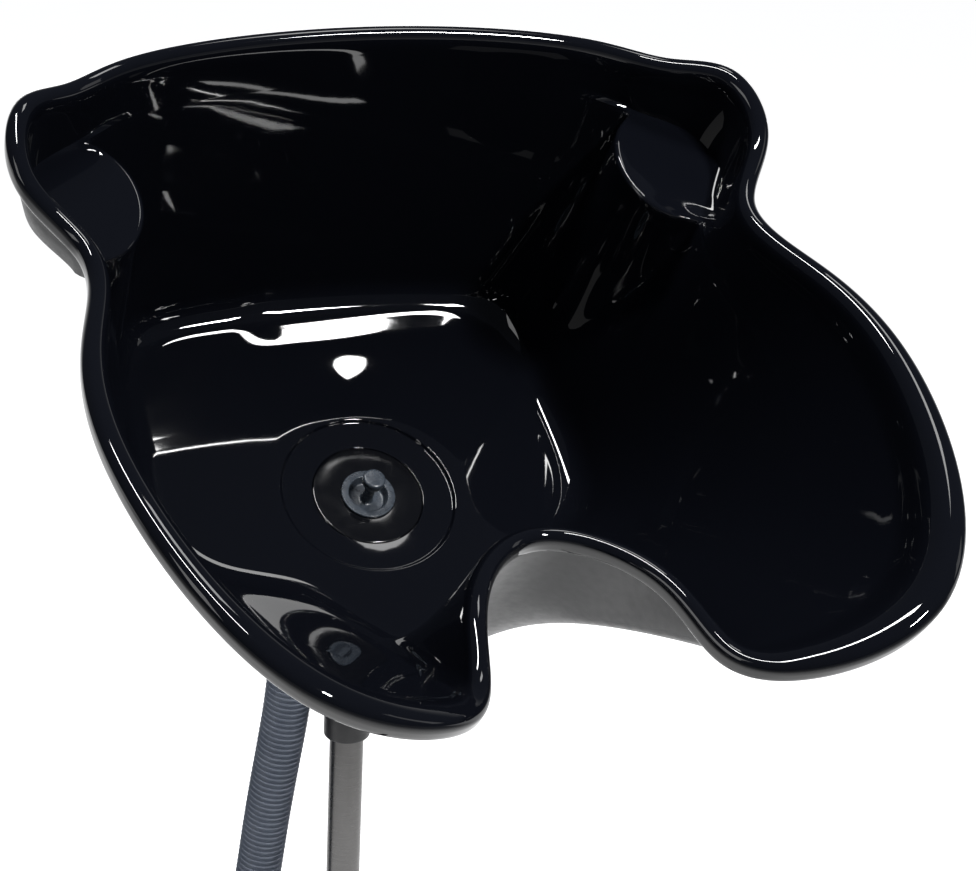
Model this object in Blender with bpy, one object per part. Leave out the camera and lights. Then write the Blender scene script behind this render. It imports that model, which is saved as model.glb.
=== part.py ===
# Portable shampoo basin: a deep moulded bowl with two bottle ledges and a neck notch, tilted on a
# telescopic mast with a four-legged foot. Metres, +Z up, the neck notch faces -Y, the mast is vertical.
import math

import bmesh
import bpy
import numpy as np
from mathutils import Matrix, Vector

# Clearances
GAP = 0.0003                 # between pieces that touch or are cut to each other
OVERCUT = 0.004              # how far a cutter runs past the faces it opens
MERGE = 0.000001             # points nearer than this are one point

# Bowl, in its own frame: origin at the drain on the floor, +Y to the back wall, +Z up the walls
HALF_WIDTH = 0.2371          # drain plane to the outside of a bottle ledge
BACK_REACH = 0.2029          # drain to the back rim
FRONT_REACH = 0.2910         # drain to the front horns
WALL_HEIGHT = 0.2400         # floor to the side rim
FLOOR_HALF_WIDTH = 0.1520
FLOOR_BACK_REACH = 0.1580
FLOOR_FRONT_REACH = 0.1180
SHELL = 0.0038               # wall of the moulding
RIM_ROLL_R = 0.0062          # rolled edge
LEDGE_HEIGHT = 0.1900        # bottle ledges above the floor

# Rim points of one half, from the back round to the neck: across, along, up
# Across is a share of the half width, along of the back (+) or front (-) reach, up of the wall height
RIM_shares = (
    (0.000, 1.000, 0.911),
    (0.651, 0.896, 0.919),
    (0.829, 0.780, 0.943),
    (0.966, 0.665, 0.991),
    (1.000, 0.416, 0.964),
    (0.890, 0.178, 0.933),
    (0.946, -0.101, 1.004),
    (0.988, -0.442, 1.100),
    (0.743, -0.936, 1.159),
    (0.420, -1.000, 1.053),
    (0.276, -0.908, 0.965),
    (0.203, -0.730, 0.934),
    (0.000, -0.590, 0.865),
)
# Floor points under those rim points: across, along; then the wall's bend, 1 is straight
FLOOR_shares = (
    (0.000, 1.000),
    (0.645, 0.968),
    (0.829, 0.899),
    (0.921, 0.772),
    (0.974, 0.608),
    (0.993, 0.380),
    (1.000, 0.095),
    (0.940, -0.210),
    (0.730, -0.450),
    (0.460, -0.610),
    (0.310, -0.775),
    (0.180, -0.930),
    (0.000, -1.060),
)
# 1 is a straight wall, more makes it scooped
BEND_shares = (1.22, 1.25, 1.33, 1.18, 1.02, 1.00, 1.00, 1.00, 0.94, 0.87, 0.92, 1.12, 1.32)
# How many steps of the mesh lie between each rim point and the next
STEPS_BETWEEN = (3, 3, 4, 4, 5, 3, 2, 4, 3, 2, 2, 3)
FLOOR_FILLET = 0.0180        # rounding between floor and wall
FILLET_shares = (0.0, 0.35, 0.7, 1.0)
LEDGE_ACROSS = 0.1920        # drain plane to the middle of a bottle ledge
LEDGE_BACK = 0.1040          # drain to the middle of a bottle ledge
LEDGE_DEPTH = 0.0360         # its middle to its front edge
LEDGE_HALF_LENGTH = 0.0460
LEDGE_LIP = 0.0030           # rounding of its front edge
LEDGE_END_share = 0.97       # where it meets the pod's outer wall, of the wall's run
LEDGE_FADE_share = 1.45      # where the pod's wall has become plain wall, of the half length
COLUMN_SOFT = 0.0080         # rounding where the column under a ledge leaves the wall
COLUMN_STEEP = 3.0           # how sharply it falls back beside the ledge
# Heights of the rings on the wall: up to the ledge, across it, and from it up to the rim
BELOW_LEDGE_shares = (0.24, 0.45, 0.68, 0.88)
ACROSS_LEDGE_shares = (0.5, 1.0)
ABOVE_LEDGE_shares = (0.6, 1.0)
LEDGE_RISE_share = 0.2       # what a plain wall climbs on the rings that cross the ledge
ROLL_STEPS = 5               # flats round the rolled edge
ROLL_END_DEG = -90.0         # where the rolled edge turns back to the wall

# Drain dish and fitting, turned round the drain axis
DISH_R = 0.0590
DISH_SLOPE = 0.0012          # the dish's own small edge
DISH_DEPTH = 0.0024
FLANGE_R = 0.0372
FLANGE_THICK = 0.0026
DRAIN_HOLE_R = 0.0225
STEM_R = 0.0218
STEM_BORE_R = 0.0162
SEAT_R = 0.0178              # the plug's cone seat
SEAT_DEPTH = 0.0080
STEM_LENGTH = 0.0300
GRID_THICK = 0.0020          # strainer across the stem's bore
GRID_BAR = 0.0022
GRID_RING = 0.0022
GASKET_R = 0.0330
GASKET_THICK = 0.0025
LOCKNUT_R = 0.0300
LOCKNUT_THICK = 0.0080
LOCKNUT_LUGS = 8
LUG_share = 0.06
ELBOW_R = 0.0262             # cup of the drain elbow
ELBOW_FLOOR = 0.0030
ELBOW_CUP = 0.0320
ELBOW_ARM_R = 0.0135

# Plug: a soft cup with a stem and a round knob
PLUG_R = 0.0170
PLUG_FOOT_R = 0.0145
PLUG_DEPTH = 0.0070
PLUG_LIP_R = 0.0192
PLUG_LIP = 0.0014
PLUG_CUP_R = 0.0128          # hollow round the stem
PLUG_CUP_FLOOR = 0.0022
PLUG_STEM_R = 0.0036
PLUG_KNOB_R = 0.0075
PLUG_KNOB_THICK = 0.0062
PLUG_KNOB_EDGE = 0.0016
PLUG_HEIGHT = 0.0200         # knob's top above the flange

# Mast, collar, outer tube and clamp, round the mast's axis
DRAIN_HEIGHT = 0.8800        # floor to the drain at rest
DRAIN_AHEAD = 0.0288         # drain in front of the mast's axis
BOWL_TILT_DEG = 34.66        # the bowl's floor against the ground at rest
MAST_R = 0.0120
MAST_WALL = 0.0015
MAST_FOOT = 0.2000           # lower end of the mast at rest
COLLAR_DROP = 0.1955         # drain to the collar's lower edge
COLLAR_R = 0.0163
COLLAR_LENGTH = 0.0560
COLLAR_CAP = 0.0060
COLLAR_ROUND = 0.0012
OUTER_TUBE_R = 0.0150
OUTER_TUBE_TOP = 0.5000
BUSH_LENGTH = 0.0400
BUSH_FLANGE_THICK = 0.0045
FOOT_BUSH_LENGTH = 0.0300
FOOT_BUSH_LIP = 0.0040
CLAMP_R = 0.0225
CLAMP_LENGTH = 0.0420
CLAMP_BELOW_TOP = 0.0020
CLAMP_BOSS_R = 0.0105
CLAMP_BOSS_REACH = 0.0280
CLAMP_ROUND = 0.0015

# Base: a hub tube, a plate under it and four legs
HUB_R = 0.0235
HUB_TOP = 0.1150
HUB_CHAMFER = 0.0020
HUB_SOCKET_FLOOR = 0.0320
HUB_BOLT_R = 0.0060
HUB_BOLT_HEAD_R = 0.0100
HUB_BOLT_HEAD = 0.0060
PLATE_R = 0.0720
PLATE_DEPTH = 0.0060
LEG_REACH = 0.2900
LEG_WIDTH = 0.0380
LEG_END_WIDTH = 0.0280
LEG_HEIGHT = 0.0300
LEG_END_HEIGHT = 0.0180
LEG_BOTTOM = 0.0180
LEG_EDGE = 0.0025
LEG_ROUND_STEPS = 8
LEG_BOLT_AT = 0.0520
LEG_BOLT_R = 0.0030
LEG_BOLT_HEAD_R = 0.0055
LEG_BOLT_HEAD = 0.0035
LEG_BOLT_BITE = 0.0120
FOOT_INSET = 0.0200          # a foot's middle from its leg's end
FOOT_R = 0.0160
FOOT_TOP_R = 0.0130
FOOT_ROUND = 0.0020
FOOT_STUD_R = 0.0040
FOOT_STUD = 0.0100

# Knobs
KNOB_R = 0.0195
KNOB_LOBES = 6
LOBE_share = 0.07
KNOB_THICK = 0.0110
KNOB_EDGE = 0.0025
KNOB_NECK_R = 0.0085
KNOB_NECK = 0.0040
HEIGHT_SCREW_R = 0.0040

# Tilt bracket, in the bowl's frame
PIVOT_BEHIND = 0.0850        # drain to the tilt axis, towards the back wall
PIVOT_BELOW = 0.0550
KNUCKLE_R = 0.0140
KNUCKLE_HALF = 0.0150
BOLT_R = 0.0050
EAR_THICK = 0.0035
EAR_R = 0.0165
EAR_TOP_HALF = 0.0260
BRACKET_HALF_WIDTH = 0.0400
BRACKET_HALF_LENGTH = 0.0340
BRACKET_THICK = 0.0035
PAD_THICK = 0.0100
PAD_MARGIN = 0.0030
PLATE_SCREW_R = 0.0022
PLATE_SCREW_HEAD_R = 0.0045
PLATE_SCREW_HEAD = 0.0030
PLATE_SCREW_INSET = 0.0080
PLATE_SCREW_BITE = 0.0070
BOLT_HEAD_R = 0.0090
BOLT_HEAD = 0.0055
BOLT_END = 0.0100            # how far the bolt runs into the tilt knob
WASHER_R = 0.0100
WASHER_THICK = 0.0015
ARM_HALF_WIDTH = 0.0120
ARM_HALF_DEPTH = 0.0085
ARM_STEPS = 8
ARM_FOOT = 0.0080
ARM_EDGE = 0.0015
ARM_PEG_R = 0.0101
ARM_PEG = 0.0450
# How the arm's middle line bends: height over the collar, then rearwards and height below the pivot
ARM_RISE = 0.0300
ARM_SWEEP_BACK = 0.0500
ARM_SWEEP_DROP = 0.0700

# Drain hose
HOSE_R = 0.0165              # over the ribs
HOSE_RIB = 0.0014            # rib height
HOSE_RIBS = 130
HOSE_BORE_R = 0.0133
SPIGOT_R = 0.0118
SPIGOT_BORE_R = 0.0095
CLIP_R = 0.0186
CLIP_WIDTH = 0.0100
CLIP_FROM_TOP = 0.0080
CLIP_SCREW_R = 0.0030
CLIP_SCREW_HALF = 0.0065
CUFF_LENGTH = 0.0500
CUFF_R = 0.0186
CUFF_LIP = 0.0050
CUFF_LIP_R = 0.0140
# The elbow's own line from its cup to its spigot's end, from the drain's centre, world directions
ELBOW_LINE = (
    (0.0000, 0.0239, -0.0346),
    (-0.0170, 0.0262, -0.0395),
    (-0.0270, 0.0280, -0.0450),
    (-0.0318, 0.0290, -0.0530),
    (-0.0334, 0.0299, -0.0620),
)
SPIGOT_END = (-0.0365, 0.0355, -0.1100)
# The hose's own route, from its top on the spigot down to its end, from the drain's centre
HOSE_ROUTE = (
    (-0.0338, 0.0307, -0.0690),
    (-0.0365, 0.0355, -0.1100),
    (-0.0387, 0.0400, -0.1500),
    (-0.0405, 0.0425, -0.1750),
    (-0.0432, 0.0450, -0.2000),
    (-0.0480, 0.0490, -0.2400),
    (-0.0522, 0.0530, -0.2800),
    (-0.0556, 0.0560, -0.3150),
    (-0.0610, 0.0600, -0.3600),
    (-0.0655, 0.0628, -0.4050),
    (-0.0688, 0.0648, -0.4600),
    (-0.0702, 0.0662, -0.5300),
    (-0.0706, 0.0670, -0.6100),
    (-0.0706, 0.0672, -0.6700),
    (-0.0706, 0.0672, -0.7400),
)

# Segment counts
ROUND_FINE = 26
ROUND = 18
ROUND_SMALL = 10
TUBE_RESOLUTION = 2
KNOB_LOBE_STEPS = 4
HOSE_BORE_STEP = 6           # the bore takes every so many of the hose's points

SMOOTH_DEG = 35.0            # faces that meet at less than this are shaded smooth
SMOOTH_BOWL_DEG = 50.0
SMOOTH_HOSE_DEG = 20.0

SIDEWAYS = Matrix.Rotation(math.pi / 2.0, 4, "Y")    # turns +Z to +X
# Stands a flat outline up: its X runs along Y, its Y up and its height along X
UPRIGHT = Matrix(((0, 0, 1, 0), (1, 0, 0, 0), (0, 1, 0, 0), (0, 0, 0, 1)))
# Keeps the base plate's facets clear of its bolt holes
PLATE_TURN = Matrix.Rotation(math.pi / 2.0 / ROUND_FINE, 4, "Z")


def remove_everything():
    """Clears the scene's objects so that the script can run again."""
    for thing in list(bpy.data.objects):
        bpy.data.objects.remove(thing, do_unlink=True)


def finish_material(name, colour, roughness, metallic=0.0):
    """A Principled material in the piece's own colour."""
    material = bpy.data.materials.new(name)
    material.use_nodes = True
    shader = material.node_tree.nodes["Principled BSDF"]
    shader.inputs["Base Color"].default_value = (*colour, 1.0)
    shader.inputs["Roughness"].default_value = roughness
    shader.inputs["Metallic"].default_value = metallic
    return material


def empty_at(name, place, parent=None, tilt=0.0):
    """An empty that marks a joint axis or a frame, turned about X by tilt radians."""
    marker = bpy.data.objects.new(name, None)
    bpy.context.collection.objects.link(marker)
    marker.parent = parent
    marker.location = place
    marker.rotation_euler = (tilt, 0.0, 0.0)
    return marker


def piece(name, mesh, material, parent=None, place=(0.0, 0.0, 0.0), smooth_deg=SMOOTH_DEG):
    """Makes the named object of a finished mesh, shaded smooth up to smooth_deg."""
    thing = bpy.data.objects.new(name, mesh)
    bpy.context.collection.objects.link(thing)
    thing.parent = parent
    thing.location = place
    mesh.materials.append(material)
    mesh.shade_smooth()
    mesh.set_sharp_from_angle(angle=math.radians(smooth_deg))
    return thing


def mesh_of(name, shape, turn=None):
    """Cleans a bmesh, points its faces outwards and turns it into a mesh."""
    bmesh.ops.remove_doubles(shape, verts=shape.verts, dist=MERGE)
    bmesh.ops.recalc_face_normals(shape, faces=shape.faces)
    if turn is not None:
        bmesh.ops.transform(shape, matrix=turn, verts=shape.verts)
    mesh = bpy.data.meshes.new(name)
    shape.to_mesh(mesh)
    shape.free()
    return mesh


def turned(name, profile, steps=ROUND, turn=None):
    """Spins a closed (radius, height) profile round Z; radius 0 lies on the axis."""
    shape = bmesh.new()
    corners = [shape.verts.new((radius, 0.0, height)) for radius, height in profile]
    edges = []
    for here, there in zip(corners, corners[1:] + corners[:1]):
        if here.co.x > 0.0 or there.co.x > 0.0:
            edges.append(shape.edges.new((here, there)))
    bmesh.ops.spin(
        shape, geom=corners + edges, cent=(0, 0, 0), axis=(0, 0, 1), dvec=(0, 0, 0),
        angle=2.0 * math.pi, steps=steps, use_merge=True, use_duplicate=False,
    )
    return mesh_of(name, shape, turn)


def prism(name, outline, low, high, turn=None):
    """Extrudes a flat closed outline from the height low to the height high."""
    shape = bmesh.new()
    base = [shape.verts.new((x, y, low)) for x, y in outline]
    face = shape.faces.new(base)
    grown = bmesh.ops.extrude_face_region(shape, geom=[face])
    lifted = [part for part in grown["geom"] if isinstance(part, bmesh.types.BMVert)]
    bmesh.ops.translate(shape, vec=(0.0, 0.0, high - low), verts=lifted)
    return mesh_of(name, shape, turn)


def cutter(name, mesh, parent=None, place=(0.0, 0.0, 0.0)):
    """A hidden tool for a Boolean."""
    tool = bpy.data.objects.new(name, mesh)
    bpy.context.collection.objects.link(tool)
    tool.parent = parent
    tool.location = place
    tool.hide_render = True
    tool.display_type = "WIRE"
    return tool


def cut(target, tool, operation="DIFFERENCE"):
    """Adds a Boolean of the tool to the target."""
    step = target.modifiers.new(tool.name, "BOOLEAN")
    step.operation = operation
    step.solver = "EXACT"
    step.object = tool
    return step


def soften(thing, width, segments=1, angle_deg=40.0):
    """Rounds the piece's sharp edges."""
    edge = thing.modifiers.new("edges", "BEVEL")
    edge.width = width
    edge.segments = segments
    edge.limit_method = "ANGLE"
    edge.angle_limit = math.radians(angle_deg)
    return edge


def along(start, end):
    """The matrix that puts +Z on the line from start to end, with its origin at start."""
    way = Vector(end) - Vector(start)
    return Matrix.Translation(Vector(start)) @ way.to_track_quat("Z", "Y").to_matrix().to_4x4()


def closed_spline(points, knots, span, samples):
    """Smooth closed curve: the cubic spline through points at their knots, read at samples."""
    points = np.asarray(points, float)
    count = len(points)
    steps = np.diff(np.append(knots, span))
    before = np.roll(steps, 1)
    system = np.zeros((count, count))
    rows = np.arange(count)
    system[rows, rows] = 2.0 * (before + steps)
    system[rows, (rows - 1) % count] += before
    system[rows, (rows + 1) % count] += steps
    slope = (np.roll(points, -1, axis=0) - points) / steps[:, None]
    bends = np.linalg.solve(system, 6.0 * (slope - np.roll(slope, 1, axis=0)))
    place = np.searchsorted(knots, samples, side="right") - 1
    after = (place + 1) % count
    step = steps[place][:, None]
    there = ((samples - knots[place]) / steps[place])[:, None]
    here = 1.0 - there
    value = here * points[place] + there * points[after]
    curve = (here**3 - here) * bends[place] + (there**3 - there) * bends[after]
    return value + curve * step**2 / 6.0


def both_halves(half, mirrored=0):
    """Adds the mirror half of a list of rows; column mirrored changes its sign."""
    half = np.asarray(half, float)
    other = half[-2:0:-1].copy()
    if mirrored is not None:
        other[:, mirrored] *= -1.0
    return np.vstack([half, other])


def bowl_outlines():
    """The rim, the floor's edge and the wall's bend, as rings of points round the bowl."""
    rim = [
        (across * HALF_WIDTH, reach * (BACK_REACH if reach > 0 else FRONT_REACH), up * WALL_HEIGHT)
        for across, reach, up in RIM_shares
    ]
    floor = [
        (across * FLOOR_HALF_WIDTH, reach * (FLOOR_BACK_REACH if reach > 0 else FLOOR_FRONT_REACH))
        for across, reach in FLOOR_shares
    ]
    rim = both_halves(rim)
    floor = both_halves(floor)
    bend = both_halves([[value] for value in BEND_shares], mirrored=None)
    chords = np.linalg.norm(np.roll(rim, -1, axis=0) - rim, axis=1)
    knots = np.concatenate([[0.0], np.cumsum(np.sqrt(chords))])
    samples = np.concatenate([
        np.linspace(knots[index], knots[index + 1], count, endpoint=False)
        for index, count in enumerate(STEPS_BETWEEN + STEPS_BETWEEN[::-1])
    ])
    curves = [closed_spline(rows, knots[:-1], knots[-1], samples) for rows in (rim, floor, bend)]
    return curves[0], curves[1], curves[2][:, 0]


def outward_in_plan(ring):
    """Unit directions that point out of a closed ring, level with the bowl's floor."""
    run = np.roll(ring, -1, axis=0) - np.roll(ring, 1, axis=0)
    out = np.stack([-run[:, 1], run[:, 0], np.zeros(len(ring))], axis=1)
    out /= np.linalg.norm(out, axis=1)[:, None]
    if np.sum(out[:, :2] * ring[:, :2]) < 0.0:
        out = -out
    return out


def column_push(plan):
    """How far the column under a bottle ledge pushes points of a wall towards the bowl's middle.

    The column's front is half an ellipse in plan, the same at every height. The wall leans
    outwards, so the column stands further out of it the higher it is.
    """
    along = np.abs((plan[:, 1] - LEDGE_BACK) / LEDGE_HALF_LENGTH)
    front = LEDGE_DEPTH * np.sqrt(np.maximum(1.0 - along**2, 0.0))
    front -= COLUMN_STEEP * LEDGE_HALF_LENGTH * np.maximum(along - 1.0, 0.0)
    push = front - (LEDGE_ACROSS - np.abs(plan[:, 0]))
    return (push + np.sqrt(push**2 + COLUMN_SOFT**2)) / 2.0


def pushed_in(plan, push, level):
    """A ring of wall points moved in by push, at the given heights."""
    across = plan[:, 0] - np.sign(plan[:, 0]) * push
    return np.column_stack([across, plan[:, 1], level])


def wall_rings(rim, floor, bend, ways, out):
    """Inner wall: each point runs from the floor's edge out to the rim and climbs on the way.

    At a height h a plain wall has run (h / H) ** (1 / bend) of its way to the rim. A bottle
    ledge stands on a column, then runs level to the pod's outer wall, which is steeper.
    """
    top = rim - out * RIM_ROLL_R * 2.0
    height = top[:, 2]

    def plain_run(level):
        return (level / height) ** (1.0 / bend)

    def plan_at(run):
        return floor + (top[:, :2] - floor) * run[:, None]

    inside = floor - ways * FLOOR_FILLET
    low = np.full(len(rim), FLOOR_FILLET)
    upper = plan_at(plain_run(low))
    rings = []
    for share in FILLET_shares:
        rest = 1.0 - share
        plan = inside * rest**2 + floor * 2.0 * share * rest + upper * share**2
        level = low * share**2
        rings.append(pushed_in(plan, column_push(plan) * share, level))
    flat = np.full(len(rim), LEDGE_HEIGHT)
    for share in BELOW_LEDGE_shares:
        plan = plan_at(plain_run(flat * share))
        rings.append(pushed_in(plan, column_push(plan), flat * share))
    edge = plan_at(plain_run(flat))
    push = column_push(edge)
    under_lip = plan_at(plain_run(flat - LEDGE_LIP))
    rings.append(pushed_in(under_lip, column_push(under_lip), flat - LEDGE_LIP))
    rings.append(pushed_in(edge, np.maximum(push - LEDGE_LIP, 0.0), flat))
    aside = np.abs((edge[:, 1] - LEDGE_BACK) / LEDGE_HALF_LENGTH)
    fade = np.clip((LEDGE_FADE_share - aside) / (LEDGE_FADE_share - 1.0), 0.0, 1.0)
    pod = fade**2 * (3.0 - 2.0 * fade)
    spare = height - flat
    shelf = flat + spare * LEDGE_RISE_share * (1.0 - pod)
    for share in ACROSS_LEDGE_shares:
        level = flat + (shelf - flat) * share
        run = plain_run(level)
        run += (LEDGE_END_share - run) * pod * share
        kept = np.maximum(push - LEDGE_LIP, 0.0) * (1.0 - share)
        rings.append(pushed_in(plan_at(run), kept, level))
    for share in ABOVE_LEDGE_shares:
        level = shelf + (height - shelf) * share
        run = plain_run(level)
        steep = LEDGE_END_share + (1.0 - LEDGE_END_share) * share
        run += (steep - run) * pod
        rings.append(pushed_in(plan_at(run), np.zeros(len(rim)), level))
    return rings


def ring_at(radius, height, ways):
    """A round ring about the drain."""
    return np.column_stack([ways * radius, np.full(len(ways), height)])


def pushed_out(rings, distance):
    """The rings moved by distance along the surface's outward (lower) side."""
    grid = np.stack(rings)
    around = np.roll(grid, -1, axis=1) - np.roll(grid, 1, axis=1)
    up = np.gradient(grid, axis=0)
    normal = np.cross(around, up)
    normal /= np.maximum(np.linalg.norm(normal, axis=2), MERGE)[:, :, None]
    if np.mean(normal[0, :, 2]) > 0.0:
        normal = -normal
    return list(grid + normal * distance)


def bowl_mesh():
    """The whole moulding as one closed skin of rings, from the drain hole in and out again."""
    rim, floor, bend = bowl_outlines()
    out = outward_in_plan(rim)
    ways = floor / np.linalg.norm(floor, axis=1)[:, None]
    seat = -DISH_DEPTH - FLANGE_THICK
    rings = [
        ring_at(DRAIN_HOLE_R, seat, ways),
        ring_at(FLANGE_R + GAP, seat, ways),
        ring_at(FLANGE_R + GAP, -DISH_DEPTH, ways),
        ring_at(DISH_R - DISH_SLOPE, -DISH_DEPTH, ways),
        ring_at(DISH_R, 0.0, ways),
    ]
    walls = wall_rings(rim, floor, bend, ways, out)
    rings += walls
    centre = rim - out * RIM_ROLL_R
    for step in range(1, ROLL_STEPS + 1):
        angle = math.radians(180.0 + (ROLL_END_DEG - 180.0) * step / ROLL_STEPS)
        around = out * math.cos(angle) * RIM_ROLL_R
        rise = np.array([0.0, 0.0, math.sin(angle) * RIM_ROLL_R])
        rings.append(centre + around + rise)
    join = rim - out * (2.0 * RIM_ROLL_R - SHELL)
    join[:, 2] -= RIM_ROLL_R
    rings.append(join)
    under_lip = len(FILLET_shares) + len(BELOW_LEDGE_shares)
    lip = under_lip + 1
    behind = walls[:under_lip] + [walls[lip], walls[lip + len(ACROSS_LEDGE_shares)]]
    rings += pushed_out(behind + walls[-len(ABOVE_LEDGE_shares) : -1], SHELL)[::-1]
    under = seat - SHELL
    rings.append(ring_at(FLANGE_R + SHELL, -SHELL, ways))
    rings.append(ring_at(FLANGE_R, under, ways))
    rings.append(ring_at(DRAIN_HOLE_R, under, ways))
    shape = bmesh.new()
    rows = [[shape.verts.new(point) for point in ring] for ring in rings]
    for lower, upper in zip(rows, rows[1:] + rows[:1]):
        for index in range(len(rim)):
            after = (index + 1) % len(rim)
            shape.faces.new((lower[index], lower[after], upper[after], upper[index]))
    return mesh_of("bowl_shell", shape)


def turned_ring(name, outer, inner, low, high, steps=ROUND, turn=None):
    """A plain ring or sleeve between two radii and two heights."""
    profile = [(inner, low), (outer, low), (outer, high), (inner, high)]
    return turned(name, profile, steps, turn)


def disc(name, radius, low, high, steps=ROUND_SMALL, turn=None):
    """A plain round bar from the height low to the height high."""
    return turned(name, [(0.0, low), (radius, low), (radius, high), (0.0, high)], steps, turn)


def box(name, low, high, turn=None):
    """A box between two corners."""
    outline = [(low[0], low[1]), (high[0], low[1]), (high[0], high[1]), (low[0], high[1])]
    return prism(name, outline, low[2], high[2], turn)


def lobed(name, rows, lobes, turn=None):
    """Stacks (radius, lobe share, height) rows into one solid, closed at both ends."""
    shape = bmesh.new()
    count = lobes * KNOB_LOBE_STEPS
    rings = []
    for radius, lobe, height in rows:
        ring = []
        for index in range(count):
            angle = 2.0 * math.pi * index / count
            reach = radius * (1.0 + lobe * math.cos(lobes * angle))
            ring.append(shape.verts.new((reach * math.cos(angle), reach * math.sin(angle), height)))
        rings.append(ring)
    shape.faces.new(rings[0])
    shape.faces.new(rings[-1])
    for lower, upper in zip(rings, rings[1:]):
        for index in range(count):
            after = (index + 1) % count
            shape.faces.new((lower[index], lower[after], upper[after], upper[index]))
    return mesh_of(name, shape, turn)


def open_spline(points, count):
    """Points evenly spaced along the smooth cubic curve through a route's points."""
    points = np.asarray(points, float)
    knots = np.concatenate([[0.0], np.cumsum(np.linalg.norm(np.diff(points, axis=0), axis=1))])
    steps = np.diff(knots)
    system = np.eye(len(points))
    target = np.zeros_like(points)
    for index in range(1, len(points) - 1):
        before, after = steps[index - 1], steps[index]
        system[index, index - 1 : index + 2] = before, 2.0 * (before + after), after
        ahead = (points[index + 1] - points[index]) / after
        behind = (points[index] - points[index - 1]) / before
        target[index] = 6.0 * (ahead - behind)
    bends = np.linalg.solve(system, target)
    samples = np.linspace(0.0, knots[-1], count)
    place = np.clip(np.searchsorted(knots, samples, side="right") - 1, 0, len(steps) - 1)
    step = steps[place][:, None]
    there = (samples[:, None] - knots[place][:, None]) / step
    here = 1.0 - there
    curve = (here**3 - here) * bends[place] + (there**3 - there) * bends[place + 1]
    return here * points[place] + there * points[place + 1] + curve * step**2 / 6.0


def tube_mesh(name, points, radii):
    """A filled tube along points with a radius at each, made from a bevelled curve."""
    line = bpy.data.curves.new(name + "_line", "CURVE")
    line.dimensions = "3D"
    line.bevel_depth = 1.0
    line.bevel_resolution = TUBE_RESOLUTION
    line.use_fill_caps = True
    spline = line.splines.new("POLY")
    spline.points.add(len(points) - 1)
    for knot, place, radius in zip(spline.points, points, radii):
        knot.co = (*place, 1.0)
        knot.radius = radius
    holder = bpy.data.objects.new(name + "_line", line)
    bpy.context.collection.objects.link(holder)
    shape = bmesh.new()
    shape.from_mesh(holder.to_mesh())
    holder.to_mesh_clear()
    bpy.data.objects.remove(holder, do_unlink=True)
    return mesh_of(name, shape)


def into_bowl_frame(places):
    """Turns world directions from the drain's centre into the bowl's own frame."""
    turn = np.array(Matrix.Rotation(-math.radians(BOWL_TILT_DEG), 3, "X"))
    return np.asarray(places, float) @ turn.T


def drain_flange_mesh():
    """Flange with a threaded stem, its bore opening into the plug's seat."""
    top = -DISH_DEPTH
    low = top - FLANGE_THICK + GAP
    profile = [
        (SEAT_R, top),
        (FLANGE_R - FLANGE_THICK / 2.0, top),
        (FLANGE_R, top - FLANGE_THICK / 2.0),
        (FLANGE_R, low),
        (STEM_R, low),
        (STEM_R, top - STEM_LENGTH),
        (STEM_BORE_R, top - STEM_LENGTH),
        (STEM_BORE_R, top - SEAT_DEPTH),
    ]
    return turned("drain_flange", profile, ROUND_FINE)


def drain_pieces(parts, materials):
    """The drain's own fittings: flange, strainer, gasket, locknut, elbow and plug."""
    frame = parts["tilt_axis"]
    place = parts["bowl_place"]
    piece("drain_flange", drain_flange_mesh(), materials["satin_black"], frame, place)
    top = -DISH_DEPTH - SEAT_DEPTH - 2.0 * GAP
    low = top - GRID_THICK
    outer = STEM_BORE_R - GAP
    grid = piece("strainer_grid", turned_ring("strainer_grid", outer, outer - GRID_RING, low, top),
                 materials["steel"], frame, place)
    for index, turn in enumerate((0.0, math.pi / 2.0)):
        bar = box(
            "strainer_bar", (-outer + GRID_RING / 2.0, -GRID_BAR / 2.0, low),
            (outer - GRID_RING / 2.0, GRID_BAR / 2.0, top), Matrix.Rotation(turn, 4, "Z"),
        )
        cut(grid, cutter("strainer_bar_%d" % index, bar, frame, place), "UNION")
    under = -DISH_DEPTH - FLANGE_THICK - SHELL - GAP
    ring = turned_ring("drain_gasket", GASKET_R, STEM_R + GAP, under - GASKET_THICK, under, ROUND_FINE)
    piece("drain_gasket", ring, materials["rubber"], frame, place)
    under -= GASKET_THICK + GAP
    nut = turned_ring("drain_locknut", LOCKNUT_R, STEM_R + GAP, under - LOCKNUT_THICK, under,
                      LOCKNUT_LUGS * KNOB_LOBE_STEPS)
    for corner in nut.vertices:
        reach = math.hypot(corner.co.x, corner.co.y)
        if reach > (LOCKNUT_R + STEM_R) / 2.0:
            lug = 1.0 + LUG_share * math.cos(LOCKNUT_LUGS * math.atan2(corner.co.y, corner.co.x))
            corner.co.x *= lug
            corner.co.y *= lug
    piece("drain_locknut", nut, materials["satin_black"], frame, place)
    elbow_piece(under - LOCKNUT_THICK - GAP, materials["satin_black"], frame, place)


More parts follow.
